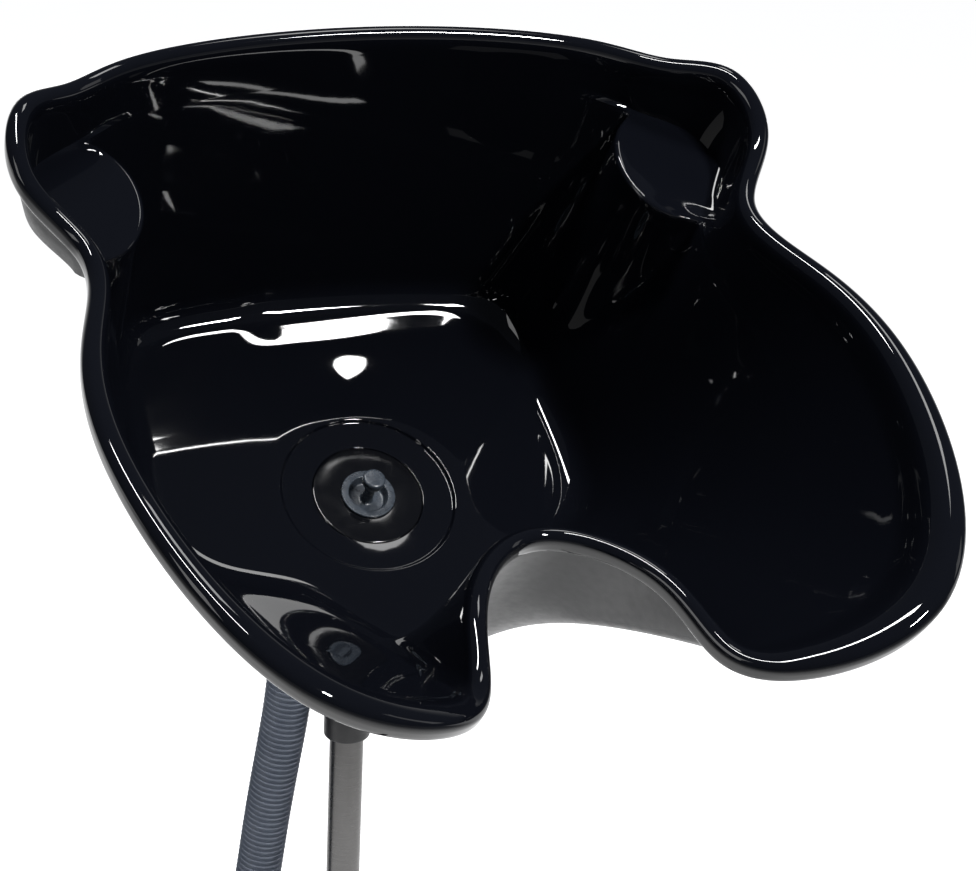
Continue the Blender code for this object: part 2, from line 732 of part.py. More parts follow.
def elbow_piece(top, material, frame, place):
    """The elbow: a cup on the stem, an arm to the left and a spigot down for the hose."""
    low = top - ELBOW_CUP
    elbow = piece("drain_elbow", disc("drain_elbow", ELBOW_R, low, top, ROUND_FINE), material, frame, place)
    line = into_bowl_frame(ELBOW_LINE + (SPIGOT_END,))
    radii = [ELBOW_ARM_R] * len(ELBOW_LINE) + [SPIGOT_R]
    radii[-2] = SPIGOT_R
    arm = tube_mesh("elbow_arm", line, radii)
    cut(elbow, cutter("elbow_arm", arm, frame, place), "UNION")
    chamber = turned("elbow_chamber", [
        (0.0, low + ELBOW_FLOOR),
        (STEM_BORE_R, low + ELBOW_FLOOR),
        (STEM_BORE_R, -DISH_DEPTH - STEM_LENGTH - GAP),
        (STEM_R + GAP, -DISH_DEPTH - STEM_LENGTH - GAP),
        (STEM_R + GAP, top + OVERCUT),
        (0.0, top + OVERCUT),
    ], ROUND_FINE)
    cut(elbow, cutter("elbow_chamber", chamber, frame, place))
    way = line[-1] - line[-2]
    line[-1] += way / np.linalg.norm(way) * OVERCUT
    bore = tube_mesh("elbow_bore", line, [SPIGOT_BORE_R] * len(line))
    cut(elbow, cutter("elbow_bore", bore, frame, place))


def plug_mesh():
    """Cup with a stem and a round knob, seen from the side as one profile."""
    top = -DISH_DEPTH + GAP
    foot = top - PLUG_DEPTH
    crown = top + PLUG_HEIGHT
    knob_low = crown - PLUG_KNOB_THICK
    profile = [
        (0.0, foot),
        (PLUG_FOOT_R, foot),
        (PLUG_R, top),
        (PLUG_LIP_R, top),
        (PLUG_LIP_R - PLUG_LIP / 2.0, top + PLUG_LIP),
        (PLUG_CUP_R, top + PLUG_LIP),
        (PLUG_CUP_R, foot + PLUG_CUP_FLOOR),
        (PLUG_STEM_R, foot + PLUG_CUP_FLOOR),
        (PLUG_STEM_R, knob_low),
        (PLUG_KNOB_R - PLUG_KNOB_EDGE, knob_low),
        (PLUG_KNOB_R, knob_low + PLUG_KNOB_EDGE),
        (PLUG_KNOB_R, crown - PLUG_KNOB_EDGE),
        (PLUG_KNOB_R - PLUG_KNOB_EDGE, crown),
        (0.0, crown),
    ]
    return turned("drain_plug", profile, ROUND)


def bracket_pieces(parts, materials):
    """Pad, tilt bracket and its screws under the bowl's floor."""
    frame = parts["tilt_axis"]
    place = parts["bowl_place"]
    pivot = parts["pivot"]
    pad_top = -SHELL - GAP
    half = (BRACKET_HALF_WIDTH + PAD_MARGIN, BRACKET_HALF_LENGTH + PAD_MARGIN)
    pad = piece("mount_pad", box(
        "mount_pad", (-half[0], pivot.y - half[1], pad_top - PAD_THICK),
        (half[0], pivot.y + half[1], pad_top),
    ), materials["satin_black"], frame, place)
    plate_top = pad_top - PAD_THICK - GAP
    plate_low = plate_top - BRACKET_THICK
    bracket = piece("tilt_bracket", box(
        "tilt_bracket", (-BRACKET_HALF_WIDTH, pivot.y - BRACKET_HALF_LENGTH, plate_low),
        (BRACKET_HALF_WIDTH, pivot.y + BRACKET_HALF_LENGTH, plate_top),
    ), materials["painted"], frame, place)
    ear = [(-EAR_TOP_HALF, plate_low + BRACKET_THICK / 2.0 - pivot.z)]
    for step in range(ROUND_SMALL + 1):
        angle = math.pi + math.pi * step / ROUND_SMALL
        ear.append((EAR_R * math.cos(angle), EAR_R * math.sin(angle)))
    ear.append((EAR_TOP_HALF, plate_low + BRACKET_THICK / 2.0 - pivot.z))
    outside = KNUCKLE_HALF + GAP + EAR_THICK
    ears = prism("bracket_ears", ear, -outside, outside, Matrix.Translation(pivot) @ UPRIGHT)
    cut(bracket, cutter("bracket_ears", ears, frame, place), "UNION")
    inside = KNUCKLE_HALF + GAP
    slot = box(
        "bracket_slot", (-inside, pivot.y - BRACKET_HALF_LENGTH - OVERCUT, pivot.z - EAR_R - OVERCUT),
        (inside, pivot.y + BRACKET_HALF_LENGTH + OVERCUT, plate_low),
    )
    cut(bracket, cutter("bracket_slot", slot, frame, place))
    reach = outside + OVERCUT
    hole = disc("bracket_bolt_hole", BOLT_R + GAP, -reach, reach, ROUND_SMALL, SIDEWAYS)
    cut(bracket, cutter("bracket_bolt_hole", hole, frame))
    corners = [
        (side * (BRACKET_HALF_WIDTH - PLATE_SCREW_INSET),
         pivot.y + end * (BRACKET_HALF_LENGTH - PLATE_SCREW_INSET))
        for side in (-1, 1) for end in (-1, 1)
    ]
    names = ("left_front", "left_back", "right_front", "right_back")
    for name, (x, y) in zip(names, corners):
        spot = Vector((x, y, plate_top)) - pivot
        drill = disc("screw_hole_" + name, PLATE_SCREW_R + GAP,
                     -BRACKET_THICK - OVERCUT, PLATE_SCREW_BITE + GAP)
        drill = cutter("screw_hole_" + name, drill, frame, spot)
        cut(bracket, drill)
        cut(pad, drill)
        under = -BRACKET_THICK - GAP
        screw = turned("plate_screw_" + name, [
            (0.0, under - PLATE_SCREW_HEAD),
            (PLATE_SCREW_HEAD_R, under - PLATE_SCREW_HEAD),
            (PLATE_SCREW_HEAD_R, under),
            (PLATE_SCREW_R, under),
            (PLATE_SCREW_R, PLATE_SCREW_BITE),
            (0.0, PLATE_SCREW_BITE),
        ], ROUND_SMALL)
        piece("plate_screw_" + name, screw, materials["steel"], frame, spot)


def pivot_pieces(parts, materials):
    """The tilt axis: bolt, two washers and the tilt knob on its right end."""
    frame = parts["tilt_axis"]
    ear = KNUCKLE_HALF + GAP + EAR_THICK
    outer = ear + GAP + WASHER_THICK
    for name, side in (("pivot_washer_left", -1.0), ("pivot_washer_right", 1.0)):
        ends = sorted((side * (ear + GAP), side * outer))
        ring = turned_ring(name, WASHER_R, BOLT_R + GAP, ends[0], ends[1], ROUND_SMALL, SIDEWAYS)
        piece(name, ring, materials["steel"], frame)
    head = -outer - GAP
    bolt = turned("pivot_bolt", [
        (0.0, head - BOLT_HEAD),
        (BOLT_HEAD_R, head - BOLT_HEAD),
        (BOLT_HEAD_R, head),
        (BOLT_R, head),
        (BOLT_R, outer + GAP + BOLT_END),
        (0.0, outer + GAP + BOLT_END),
    ], ROUND_SMALL, SIDEWAYS)
    piece("pivot_bolt", bolt, materials["steel"], frame)
    knob_axis = empty_at("tilt_knob_axis", (outer + GAP, 0.0, 0.0), frame)
    bore = BOLT_R + GAP
    knob = lobed("tilt_knob", [
        (bore, 0.0, BOLT_END + GAP),
        (bore, 0.0, 0.0),
        (KNOB_NECK_R, 0.0, 0.0),
        (KNOB_NECK_R, 0.0, KNOB_NECK),
        (KNOB_R - KNOB_EDGE, LOBE_share, KNOB_NECK),
        (KNOB_R, LOBE_share, KNOB_NECK + KNOB_EDGE),
        (KNOB_R, LOBE_share, KNOB_NECK + KNOB_THICK - KNOB_EDGE),
        (KNOB_R - KNOB_EDGE, LOBE_share, KNOB_NECK + KNOB_THICK),
    ], KNOB_LOBES, SIDEWAYS)
    piece("tilt_knob", knob, materials["satin_black"], knob_axis)


def arm_piece(parts, materials):
    """The tilt arm: a peg down the mast, a flange on the collar and a bent arm to the knuckle."""
    frame = parts["swivel_axis"]
    collar_top = DRAIN_HEIGHT - COLLAR_DROP + COLLAR_LENGTH
    seat = collar_top + GAP
    foot = turned("tilt_arm", [
        (0.0, seat - ARM_PEG),
        (ARM_PEG_R, seat - ARM_PEG),
        (ARM_PEG_R, seat),
        (COLLAR_R, seat),
        (COLLAR_R, seat + ARM_FOOT - ARM_EDGE),
        (COLLAR_R - ARM_EDGE, seat + ARM_FOOT),
        (0.0, seat + ARM_FOOT),
    ], ROUND)
    arm = piece("tilt_arm", foot, materials["painted"], frame)
    axis = parts["pivot_world"]
    start = np.array([0.0, seat + ARM_FOOT / 2.0])
    rise = np.array([0.0, seat + ARM_RISE])
    sweep = np.array([ARM_SWEEP_BACK, axis.z - ARM_SWEEP_DROP])
    end = np.array([axis.y, axis.z])
    spine = []
    for step in range(ARM_STEPS + 1):
        there = step / ARM_STEPS
        here = 1.0 - there
        spine.append(start * here**3 + rise * 3 * here**2 * there + sweep * 3 * here * there**2
                     + end * there**3)
    spine = np.array(spine)
    way = np.gradient(spine, axis=0)
    way /= np.linalg.norm(way, axis=1)[:, None]
    aside = np.column_stack([-way[:, 1], way[:, 0]]) * ARM_HALF_DEPTH
    outline = np.vstack([spine + aside, (spine - aside)[::-1]])
    web = prism("arm_web", outline, -ARM_HALF_WIDTH, ARM_HALF_WIDTH, UPRIGHT)
    cut(arm, cutter("arm_web", web, frame), "UNION")
    knuckle = disc("arm_knuckle", KNUCKLE_R, -KNUCKLE_HALF, KNUCKLE_HALF, ROUND, SIDEWAYS)
    cut(arm, cutter("arm_knuckle", knuckle, frame, axis), "UNION")
    reach = KNUCKLE_HALF + OVERCUT
    hole = disc("arm_bolt_hole", BOLT_R + GAP, -reach, reach, ROUND_SMALL, SIDEWAYS)
    cut(arm, cutter("arm_bolt_hole", hole, frame, axis))


def hose_pieces(parts, materials):
    """Ribbed drain hose pushed on the spigot, its clip, and the cuff on its lower end."""
    frame = parts["tilt_axis"]
    place = parts["bowl_place"]
    count = 2 * HOSE_RIBS + 1
    line = open_spline(into_bowl_frame(HOSE_ROUTE), count)
    radii = [HOSE_R if index % 2 else HOSE_R - HOSE_RIB for index in range(count)]
    hose = piece("drain_hose", tube_mesh("drain_hose", line, radii), materials["hose"], frame, place,
                 SMOOTH_HOSE_DEG)
    inner = line[:: HOSE_BORE_STEP].copy()
    inner[0] += (line[0] - line[1]) / np.linalg.norm(line[0] - line[1]) * OVERCUT
    inner[-1] += (line[-1] - line[-2]) / np.linalg.norm(line[-1] - line[-2]) * OVERCUT
    bore = tube_mesh("hose_bore", inner, [HOSE_BORE_R] * len(inner))
    cut(hose, cutter("hose_bore", bore, frame, place))
    way = (line[1] - line[0]) / np.linalg.norm(line[1] - line[0])
    top = Vector(line[0] + way * CLIP_FROM_TOP)
    turn = along(top, top + Vector(way))
    band = turned_ring("hose_clip", CLIP_R, HOSE_R + GAP, 0.0, CLIP_WIDTH, ROUND_FINE, turn)
    piece("hose_clip", band, materials["steel"], frame, place)
    spot = Vector((0.0, CLIP_R + CLIP_SCREW_R + GAP, CLIP_WIDTH / 2.0))
    screw = disc("hose_clip_screw", CLIP_SCREW_R, -CLIP_SCREW_HALF, CLIP_SCREW_HALF, ROUND_SMALL,
                 turn @ Matrix.Translation(spot) @ SIDEWAYS)
    piece("hose_clip_screw", screw, materials["steel"], frame, place)
    way = (line[-1] - line[-2]) / np.linalg.norm(line[-1] - line[-2])
    end = Vector(line[-1])
    cuff = turned("hose_cuff", [
        (CUFF_LIP_R, GAP),
        (CUFF_LIP_R, CUFF_LIP),
        (CUFF_R, CUFF_LIP),
        (CUFF_R, CUFF_LIP - CUFF_LENGTH),
        (HOSE_R + GAP, CUFF_LIP - CUFF_LENGTH),
        (HOSE_R + GAP, GAP),
    ], ROUND_FINE, along(end, end + Vector(way)))
    piece("hose_cuff", cuff, materials["cuff"], frame, place)


def mast_pieces(parts, materials):
    """Sliding mast with its foot bush, and the collar at its top."""
    frame = parts["height_axis"]
    collar_low = DRAIN_HEIGHT - COLLAR_DROP
    collar_top = collar_low + COLLAR_LENGTH
    mast_top = collar_top - COLLAR_CAP - GAP
    tube = turned_ring("mast_tube", MAST_R, MAST_R - MAST_WALL, MAST_FOOT, mast_top, ROUND_FINE)
    piece("mast_tube", tube, materials["steel"], frame)
    collar = turned("mast_collar", [
        (MAST_R + GAP, collar_low),
        (COLLAR_R - COLLAR_ROUND, collar_low),
        (COLLAR_R, collar_low + COLLAR_ROUND),
        (COLLAR_R, collar_top - COLLAR_ROUND),
        (COLLAR_R - COLLAR_ROUND, collar_top),
        (ARM_PEG_R + GAP, collar_top),
        (ARM_PEG_R + GAP, collar_top - COLLAR_CAP),
        (MAST_R + GAP, collar_top - COLLAR_CAP),
    ], ROUND_FINE)
    piece("mast_collar", collar, materials["satin_black"], frame)
    bush = turned("mast_foot_bush", [
        (MAST_R - MAST_WALL, MAST_FOOT - GAP - FOOT_BUSH_LIP),
        (OUTER_TUBE_R - MAST_WALL - GAP, MAST_FOOT - GAP - FOOT_BUSH_LIP),
        (OUTER_TUBE_R - MAST_WALL - GAP, MAST_FOOT + FOOT_BUSH_LENGTH),
        (MAST_R + GAP, MAST_FOOT + FOOT_BUSH_LENGTH),
        (MAST_R + GAP, MAST_FOOT - GAP),
        (MAST_R - MAST_WALL, MAST_FOOT - GAP),
    ], ROUND)
    piece("mast_foot_bush", bush, materials["satin_black"], frame)


def stand_pieces(parts, materials):
    """Outer tube, its guide bush and clamp with the height knob."""
    frame = parts["stand_origin"]
    tube = piece("outer_tube", turned_ring(
        "outer_tube", OUTER_TUBE_R, OUTER_TUBE_R - MAST_WALL, HUB_SOCKET_FLOOR + GAP,
        OUTER_TUBE_TOP, ROUND_FINE,
    ), materials["painted"], frame)
    bush = piece("guide_bush", turned("guide_bush", [
        (MAST_R + GAP, OUTER_TUBE_TOP - BUSH_LENGTH),
        (OUTER_TUBE_R - MAST_WALL - GAP, OUTER_TUBE_TOP - BUSH_LENGTH),
        (OUTER_TUBE_R - MAST_WALL - GAP, OUTER_TUBE_TOP + GAP),
        (OUTER_TUBE_R, OUTER_TUBE_TOP + GAP),
        (OUTER_TUBE_R, OUTER_TUBE_TOP + GAP + BUSH_FLANGE_THICK),
        (MAST_R + GAP, OUTER_TUBE_TOP + GAP + BUSH_FLANGE_THICK),
    ], ROUND), materials["satin_black"], frame)
    clamp_top = OUTER_TUBE_TOP - CLAMP_BELOW_TOP
    clamp_low = clamp_top - CLAMP_LENGTH
    middle = (0.0, 0.0, (clamp_low + clamp_top) / 2.0)
    clamp = piece("height_clamp", turned("height_clamp", [
        (0.0, clamp_low),
        (CLAMP_R - CLAMP_ROUND, clamp_low),
        (CLAMP_R, clamp_low + CLAMP_ROUND),
        (CLAMP_R, clamp_top - CLAMP_ROUND),
        (CLAMP_R - CLAMP_ROUND, clamp_top),
        (0.0, clamp_top),
    ], ROUND_FINE), materials["satin_black"], frame)
    boss = disc("clamp_boss", CLAMP_BOSS_R, MAST_R, CLAMP_BOSS_REACH, ROUND, SIDEWAYS)
    cut(clamp, cutter("clamp_boss", boss, frame, middle), "UNION")
    bore = disc("clamp_bore", OUTER_TUBE_R + GAP, clamp_low - OVERCUT, clamp_top + OVERCUT, ROUND_FINE)
    cut(clamp, cutter("clamp_bore", bore, frame))
    drill = disc("screw_way", HEIGHT_SCREW_R + GAP, MAST_R, CLAMP_BOSS_REACH + OVERCUT,
                 ROUND_SMALL, SIDEWAYS)
    drill = cutter("screw_way", drill, frame, middle)
    for target in (clamp, tube, bush):
        cut(target, drill)
    knob_axis = empty_at("height_knob_axis", middle, frame)
    start = CLAMP_BOSS_REACH + GAP
    knob = lobed("height_knob", [
        (HEIGHT_SCREW_R, 0.0, MAST_R + GAP),
        (HEIGHT_SCREW_R, 0.0, start),
        (KNOB_NECK_R, 0.0, start),
        (KNOB_NECK_R, 0.0, start + KNOB_NECK),
        (KNOB_R - KNOB_EDGE, LOBE_share, start + KNOB_NECK),
        (KNOB_R, LOBE_share, start + KNOB_NECK + KNOB_EDGE),
        (KNOB_R, LOBE_share, start + KNOB_NECK + KNOB_THICK - KNOB_EDGE),
        (KNOB_R - KNOB_EDGE, LOBE_share, start + KNOB_NECK + KNOB_THICK),
    ], KNOB_LOBES, SIDEWAYS)
    piece("height_knob", knob, materials["satin_black"], knob_axis)


def hub_pieces(parts, materials):
    """Hub tube on its base plate, held by one bolt from below."""
    frame = parts["stand_origin"]
    hole = HUB_BOLT_R + GAP
    hub = turned("base_hub", [
        (hole, LEG_BOTTOM),
        (HUB_R, LEG_BOTTOM),
        (HUB_R, HUB_TOP - HUB_CHAMFER),
        (HUB_R - HUB_CHAMFER, HUB_TOP),
        (OUTER_TUBE_R + GAP, HUB_TOP),
        (OUTER_TUBE_R + GAP, HUB_SOCKET_FLOOR),
        (hole, HUB_SOCKET_FLOOR),
    ], ROUND_FINE)
    piece("base_hub", hub, materials["painted"], frame)
    plate_top = LEG_BOTTOM - GAP
    plate_low = plate_top - PLATE_DEPTH
    plate = piece("base_plate", turned_ring(
        "base_plate", PLATE_R, hole, plate_low, plate_top, ROUND_FINE, PLATE_TURN,
    ), materials["painted"], frame)
    head = plate_low - GAP
    bolt = turned("hub_bolt", [
        (0.0, head - HUB_BOLT_HEAD),
        (HUB_BOLT_HEAD_R, head - HUB_BOLT_HEAD),
        (HUB_BOLT_HEAD_R, head),
        (HUB_BOLT_R, head),
        (HUB_BOLT_R, HUB_SOCKET_FLOOR - GAP),
        (0.0, HUB_SOCKET_FLOOR - GAP),
    ], ROUND_SMALL)
    piece("hub_bolt", bolt, materials["steel"], frame)
    for index, side in enumerate(("right", "back", "left", "front")):
        leg_pieces(side, index * math.pi / 2.0, plate, materials, frame)


def leg_mesh(name):
    """A tapered leg along +X with a round end, lower towards its end."""
    start = HUB_R + GAP
    half = LEG_WIDTH / 2.0
    end_half = LEG_END_WIDTH / 2.0
    centre = LEG_REACH - end_half
    outline = [(start, -half)]
    for step in range(LEG_ROUND_STEPS + 1):
        angle = -math.pi / 2.0 + math.pi * step / LEG_ROUND_STEPS
        outline.append((centre + end_half * math.cos(angle), end_half * math.sin(angle)))
    outline.append((start, half))
    shape = bmesh.new()
    fall = (LEG_HEIGHT - LEG_END_HEIGHT) / (LEG_REACH - start)
    low = [shape.verts.new((x, y, LEG_BOTTOM)) for x, y in outline]
    high = [
        shape.verts.new((x, y, LEG_BOTTOM + LEG_HEIGHT - fall * (x - start))) for x, y in outline
    ]
    shape.faces.new(low)
    shape.faces.new(high)
    for index in range(len(outline)):
        after = (index + 1) % len(outline)
        shape.faces.new((low[index], low[after], high[after], high[index]))
    return mesh_of(name, shape)


def leg_pieces(side, angle, plate, materials, frame):
    """One leg with its bolt from below and its rubber foot."""
    turn = empty_at("leg_axis_" + side, (0.0, 0.0, 0.0), frame)
    turn.rotation_euler = (0.0, 0.0, angle)
    leg = piece("leg_" + side, leg_mesh("leg_" + side), materials["painted"], turn)
    soften(leg, LEG_EDGE)
    plate_low = LEG_BOTTOM - GAP - PLATE_DEPTH
    spot = (LEG_BOLT_AT, 0.0, 0.0)
    drill = disc("leg_bolt_hole_" + side, LEG_BOLT_R + GAP, plate_low - OVERCUT,
                 LEG_BOTTOM + LEG_BOLT_BITE + GAP)
    drill = cutter("leg_bolt_hole_" + side, drill, turn, spot)
    cut(leg, drill)
    cut(plate, drill)
    head = plate_low - GAP
    bolt = turned("leg_bolt_" + side, [
        (0.0, head - LEG_BOLT_HEAD),
        (LEG_BOLT_HEAD_R, head - LEG_BOLT_HEAD),
        (LEG_BOLT_HEAD_R, head),
        (LEG_BOLT_R, head),
        (LEG_BOLT_R, LEG_BOTTOM + LEG_BOLT_BITE),
        (0.0, LEG_BOTTOM + LEG_BOLT_BITE),
    ], ROUND_SMALL)
    piece("leg_bolt_" + side, bolt, materials["steel"], turn, spot)
    spot = (LEG_REACH - FOOT_INSET, 0.0, 0.0)
    socket = disc("foot_socket_" + side, FOOT_STUD_R + GAP, LEG_BOTTOM - OVERCUT,
                  LEG_BOTTOM + FOOT_STUD + GAP)
    cut(leg, cutter("foot_socket_" + side, socket, turn, spot))
    foot = turned("foot_" + side, [
        (0.0, 0.0),
        (FOOT_R - FOOT_ROUND, 0.0),
        (FOOT_R, FOOT_ROUND),
        (FOOT_TOP_R, LEG_BOTTOM - GAP),
        (FOOT_STUD_R, LEG_BOTTOM - GAP),
        (FOOT_STUD_R, LEG_BOTTOM + FOOT_STUD),
        (0.0, LEG_BOTTOM + FOOT_STUD),
    ], ROUND_SMALL)
    piece("foot_" + side, foot, materials["rubber"], turn, spot)


def stand_at_origin(root):
    """Moves everything so that the pieces, the hose aside, stand with their box on the origin."""
    bpy.context.view_layer.update()
    reach = []
    for thing in bpy.data.objects:
        if thing.type != "MESH" or thing.hide_render or thing.name in ("drain_hose", "hose_cuff"):
            continue
        reach += [(thing.matrix_world @ corner.co).y for corner in thing.data.vertices]
    root.location.y = -(min(reach) + max(reach)) / 2.0
    return root.location.y


def main():
    remove_everything()
    materials = {
        "gloss_black": finish_material("gloss_black_moulding", (0.010, 0.011, 0.014), 0.08),
        "satin_black": finish_material("satin_black_plastic", (0.018, 0.018, 0.020), 0.42),
        "painted": finish_material("black_painted_steel", (0.022, 0.022, 0.024), 0.35, 0.3),
        "steel": finish_material("satin_steel", (0.50, 0.49, 0.47), 0.30, 1.0),
        "rubber": finish_material("black_rubber", (0.020, 0.020, 0.020), 0.80),
        "hose": finish_material("grey_hose", (0.085, 0.095, 0.135), 0.45),
        "cuff": finish_material("grey_cuff", (0.060, 0.066, 0.090), 0.55),
        "plug": finish_material("grey_plug", (0.200, 0.215, 0.235), 0.30),
    }
    root = empty_at("stand_origin", (0.0, 0.0, 0.0))
    height_axis = empty_at("height_axis", (0.0, 0.0, 0.0), root)
    swivel_axis = empty_at("swivel_axis", (0.0, 0.0, 0.0), height_axis)
    tilt = math.radians(BOWL_TILT_DEG)
    pivot = Vector((0.0, PIVOT_BEHIND, -PIVOT_BELOW))
    drain = Vector((0.0, -DRAIN_AHEAD, DRAIN_HEIGHT))
    pivot_world = drain + Matrix.Rotation(tilt, 3, "X") @ pivot
    tilt_axis = empty_at("tilt_axis", pivot_world, swivel_axis, tilt)
    plug_axis = empty_at("plug_axis", -pivot, tilt_axis)
    parts = {
        "stand_origin": root,
        "height_axis": height_axis,
        "swivel_axis": swivel_axis,
        "tilt_axis": tilt_axis,
        "bowl_place": -pivot,
        "pivot": pivot,
        "pivot_world": pivot_world,
    }
    hub_pieces(parts, materials)
    stand_pieces(parts, materials)
    mast_pieces(parts, materials)
    arm_piece(parts, materials)
    piece("bowl_shell", bowl_mesh(), materials["gloss_black"], tilt_axis, -pivot, SMOOTH_BOWL_DEG)
    drain_pieces(parts, materials)
    piece("drain_plug", plug_mesh(), materials["plug"], plug_axis)
    bracket_pieces(parts, materials)
    pivot_pieces(parts, materials)
    hose_pieces(parts, materials)
    shift = stand_at_origin(root)
    print("mast axis at y = %.6f" % shift)
    print("tilt axis at", tuple(round(value, 6) for value in tilt_axis.matrix_world.translation))
    print("drain centre at", tuple(round(value, 6) for value in plug_axis.matrix_world.translation))


main()
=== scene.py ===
import math

import bpy
import numpy as np
from mathutils import Matrix, Vector


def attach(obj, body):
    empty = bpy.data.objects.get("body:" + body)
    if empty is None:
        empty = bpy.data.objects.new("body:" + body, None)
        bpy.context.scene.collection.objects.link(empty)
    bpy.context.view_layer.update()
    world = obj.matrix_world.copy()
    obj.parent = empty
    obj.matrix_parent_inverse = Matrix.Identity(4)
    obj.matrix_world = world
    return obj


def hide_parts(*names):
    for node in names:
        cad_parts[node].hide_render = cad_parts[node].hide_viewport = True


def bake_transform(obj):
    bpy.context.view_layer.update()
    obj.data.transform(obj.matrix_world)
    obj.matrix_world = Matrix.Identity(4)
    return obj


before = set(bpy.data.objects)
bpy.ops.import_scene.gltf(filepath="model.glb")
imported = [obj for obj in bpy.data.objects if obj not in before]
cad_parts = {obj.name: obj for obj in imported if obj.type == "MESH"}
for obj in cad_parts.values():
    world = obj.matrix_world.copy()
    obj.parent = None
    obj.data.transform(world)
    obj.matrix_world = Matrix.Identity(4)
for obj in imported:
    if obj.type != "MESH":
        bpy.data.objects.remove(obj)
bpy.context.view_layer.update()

# Places: the mast's axis, the drain on the bowl's floor, the tilt axis, and the bowl's tilt
MAST = np.array([0.0, 0.065786, 0.0])
DRAIN = np.array([0.0, 0.036986, 0.88])
PIVOT = np.array([0.0, 0.138181, 0.8831])
TILT = math.radians(34.66)
X_WAY = np.array([1.0, 0.0, 0.0])
Y_WAY = np.array([0.0, 1.0, 0.0])
Z_WAY = np.array([0.0, 0.0, 1.0])
# The bowl's own X, Y and Z in the world, one to a row
BOWL_WAYS = np.array([
    [1.0, 0.0, 0.0],
    [0.0, math.cos(TILT), math.sin(TILT)],
    [0.0, -math.sin(TILT), math.cos(TILT)],
])
BOWL_UP = BOWL_WAYS[2]
GAP = 0.0003

# ---------------- camera

CAMERA_PLACE = (-0.4509, -1.1433, 1.4101)
CAMERA_RIGHT = (0.9329, -0.3585, 0.0341)
CAMERA_UP = (0.1056, 0.3628, 0.9259)
CAMERA_LENS = 76.8
CAMERA_SHIFT = (0.0902, 0.0354)
SENSOR_WIDTH = 36.0
VIEW_END = 60.0


def photo_camera():
    """The photograph's own view; its frame is an off-centre cut, so the lens is shifted."""
    data = bpy.data.cameras.new("photo_camera")
    data.lens = CAMERA_LENS
    data.sensor_width = SENSOR_WIDTH
    data.shift_x, data.shift_y = CAMERA_SHIFT
    data.clip_end = VIEW_END
    camera = bpy.data.objects.new("photo_camera", data)
    bpy.context.scene.collection.objects.link(camera)
    right = np.array(CAMERA_RIGHT)
    right /= np.linalg.norm(right)
    up = np.array(CAMERA_UP) - np.dot(CAMERA_UP, right) * right
    up /= np.linalg.norm(up)
    turn = np.eye(4)
    turn[:3, 0] = right
    turn[:3, 1] = up
    turn[:3, 2] = np.cross(right, up)
    turn[:3, 3] = CAMERA_PLACE
    camera.matrix_world = Matrix(turn.tolist())
    bpy.context.scene.camera = camera


# ---------------- surfaces

# The most of an edge that a corner's rounding takes; guards against dividing by nothing
CORNER_share = 0.48
TINY = 1e-12
LEAST_STEP = 1e-9


def unit(way):
    """The way with length 1."""
    way = np.asarray(way, float)
    return way / np.linalg.norm(way)


def units(rows):
    """Each row with length 1."""
    return rows / np.maximum(np.linalg.norm(rows, axis=-1, keepdims=True), TINY)


def square_to(outline):
    """The unit way square to a flat outline's run at each of its points."""
    run = np.roll(outline, -1, axis=0) - np.roll(outline, 1, axis=0)
    return units(np.stack([run[:, 1], -run[:, 0]], axis=1))


def cubic(first, leave, arrive, last, there):
    """The Bezier curve (1-t)^3 A + 3 (1-t)^2 t B + 3 (1-t) t^2 C + t^3 D."""
    here = 1.0 - there
    return first * here**3 + leave * 3 * here**2 * there + arrive * 3 * here * there**2 + last * there**3


def across_ways(axis):
    """Two unit ways square to the axis and to each other."""
    axis = unit(axis)
    helper = X_WAY if abs(axis[0]) < 0.9 else Y_WAY
    first = unit(np.cross(axis, helper))
    return first, np.cross(axis, first)


def skin(rings, closed=False):
    """Points and faces of rings joined in order: corner (r, c) meets (r + 1, c) and (r, c + 1).

    The columns always close round. The rows close too where closed is true; otherwise each end
    ring is filled with a fan to its own middle point.
    """
    rows, columns = rings.shape[:2]
    r = np.arange(rows if closed else rows - 1)[:, None]
    c = np.arange(columns)[None, :]
    after_r, after_c = (r + 1) % rows, (c + 1) % columns
    corners = (r * columns + c, r * columns + after_c, after_r * columns + after_c, after_r * columns + c)
    faces = np.stack(corners, axis=-1).reshape(-1, 4).tolist()
    points = rings.reshape(-1, 3)
    if not closed:
        points = np.vstack([points, rings[0].mean(axis=0), rings[-1].mean(axis=0)])
        c = np.arange(columns)
        after = (c + 1) % columns
        first = np.stack([after, c, np.full(columns, rows * columns)], axis=1)
        last = (rows - 1) * columns
        second = np.stack([last + c, last + after, np.full(columns, rows * columns + 1)], axis=1)
        faces += first.tolist() + second.tolist()
    return outwards(points, faces)


def outwards(points, faces):
    """The same skin with its faces turned outwards: its signed volume is the sum of a . (b x c) / 6."""
    volume = 0.0
    for size in (3, 4):
        some = np.array([face for face in faces if len(face) == size])
        if len(some):
            for k in range(1, size - 1):
                a, b, c = points[some[:, 0]], points[some[:, k]], points[some[:, k + 1]]
                volume += np.sum(a * np.cross(b, c)) / 6.0
    if volume < 0.0:
        faces = [face[::-1] for face in faces]
    return points, faces


def joined(*skins):
    """Several closed skins as one mesh's points and faces."""
    points, faces, count = [], [], 0
    for some_points, some_faces in skins:
        points.append(some_points)
        faces += [[corner + count for corner in face] for face in some_faces]
        count += len(some_points)
    return np.vstack(points), faces


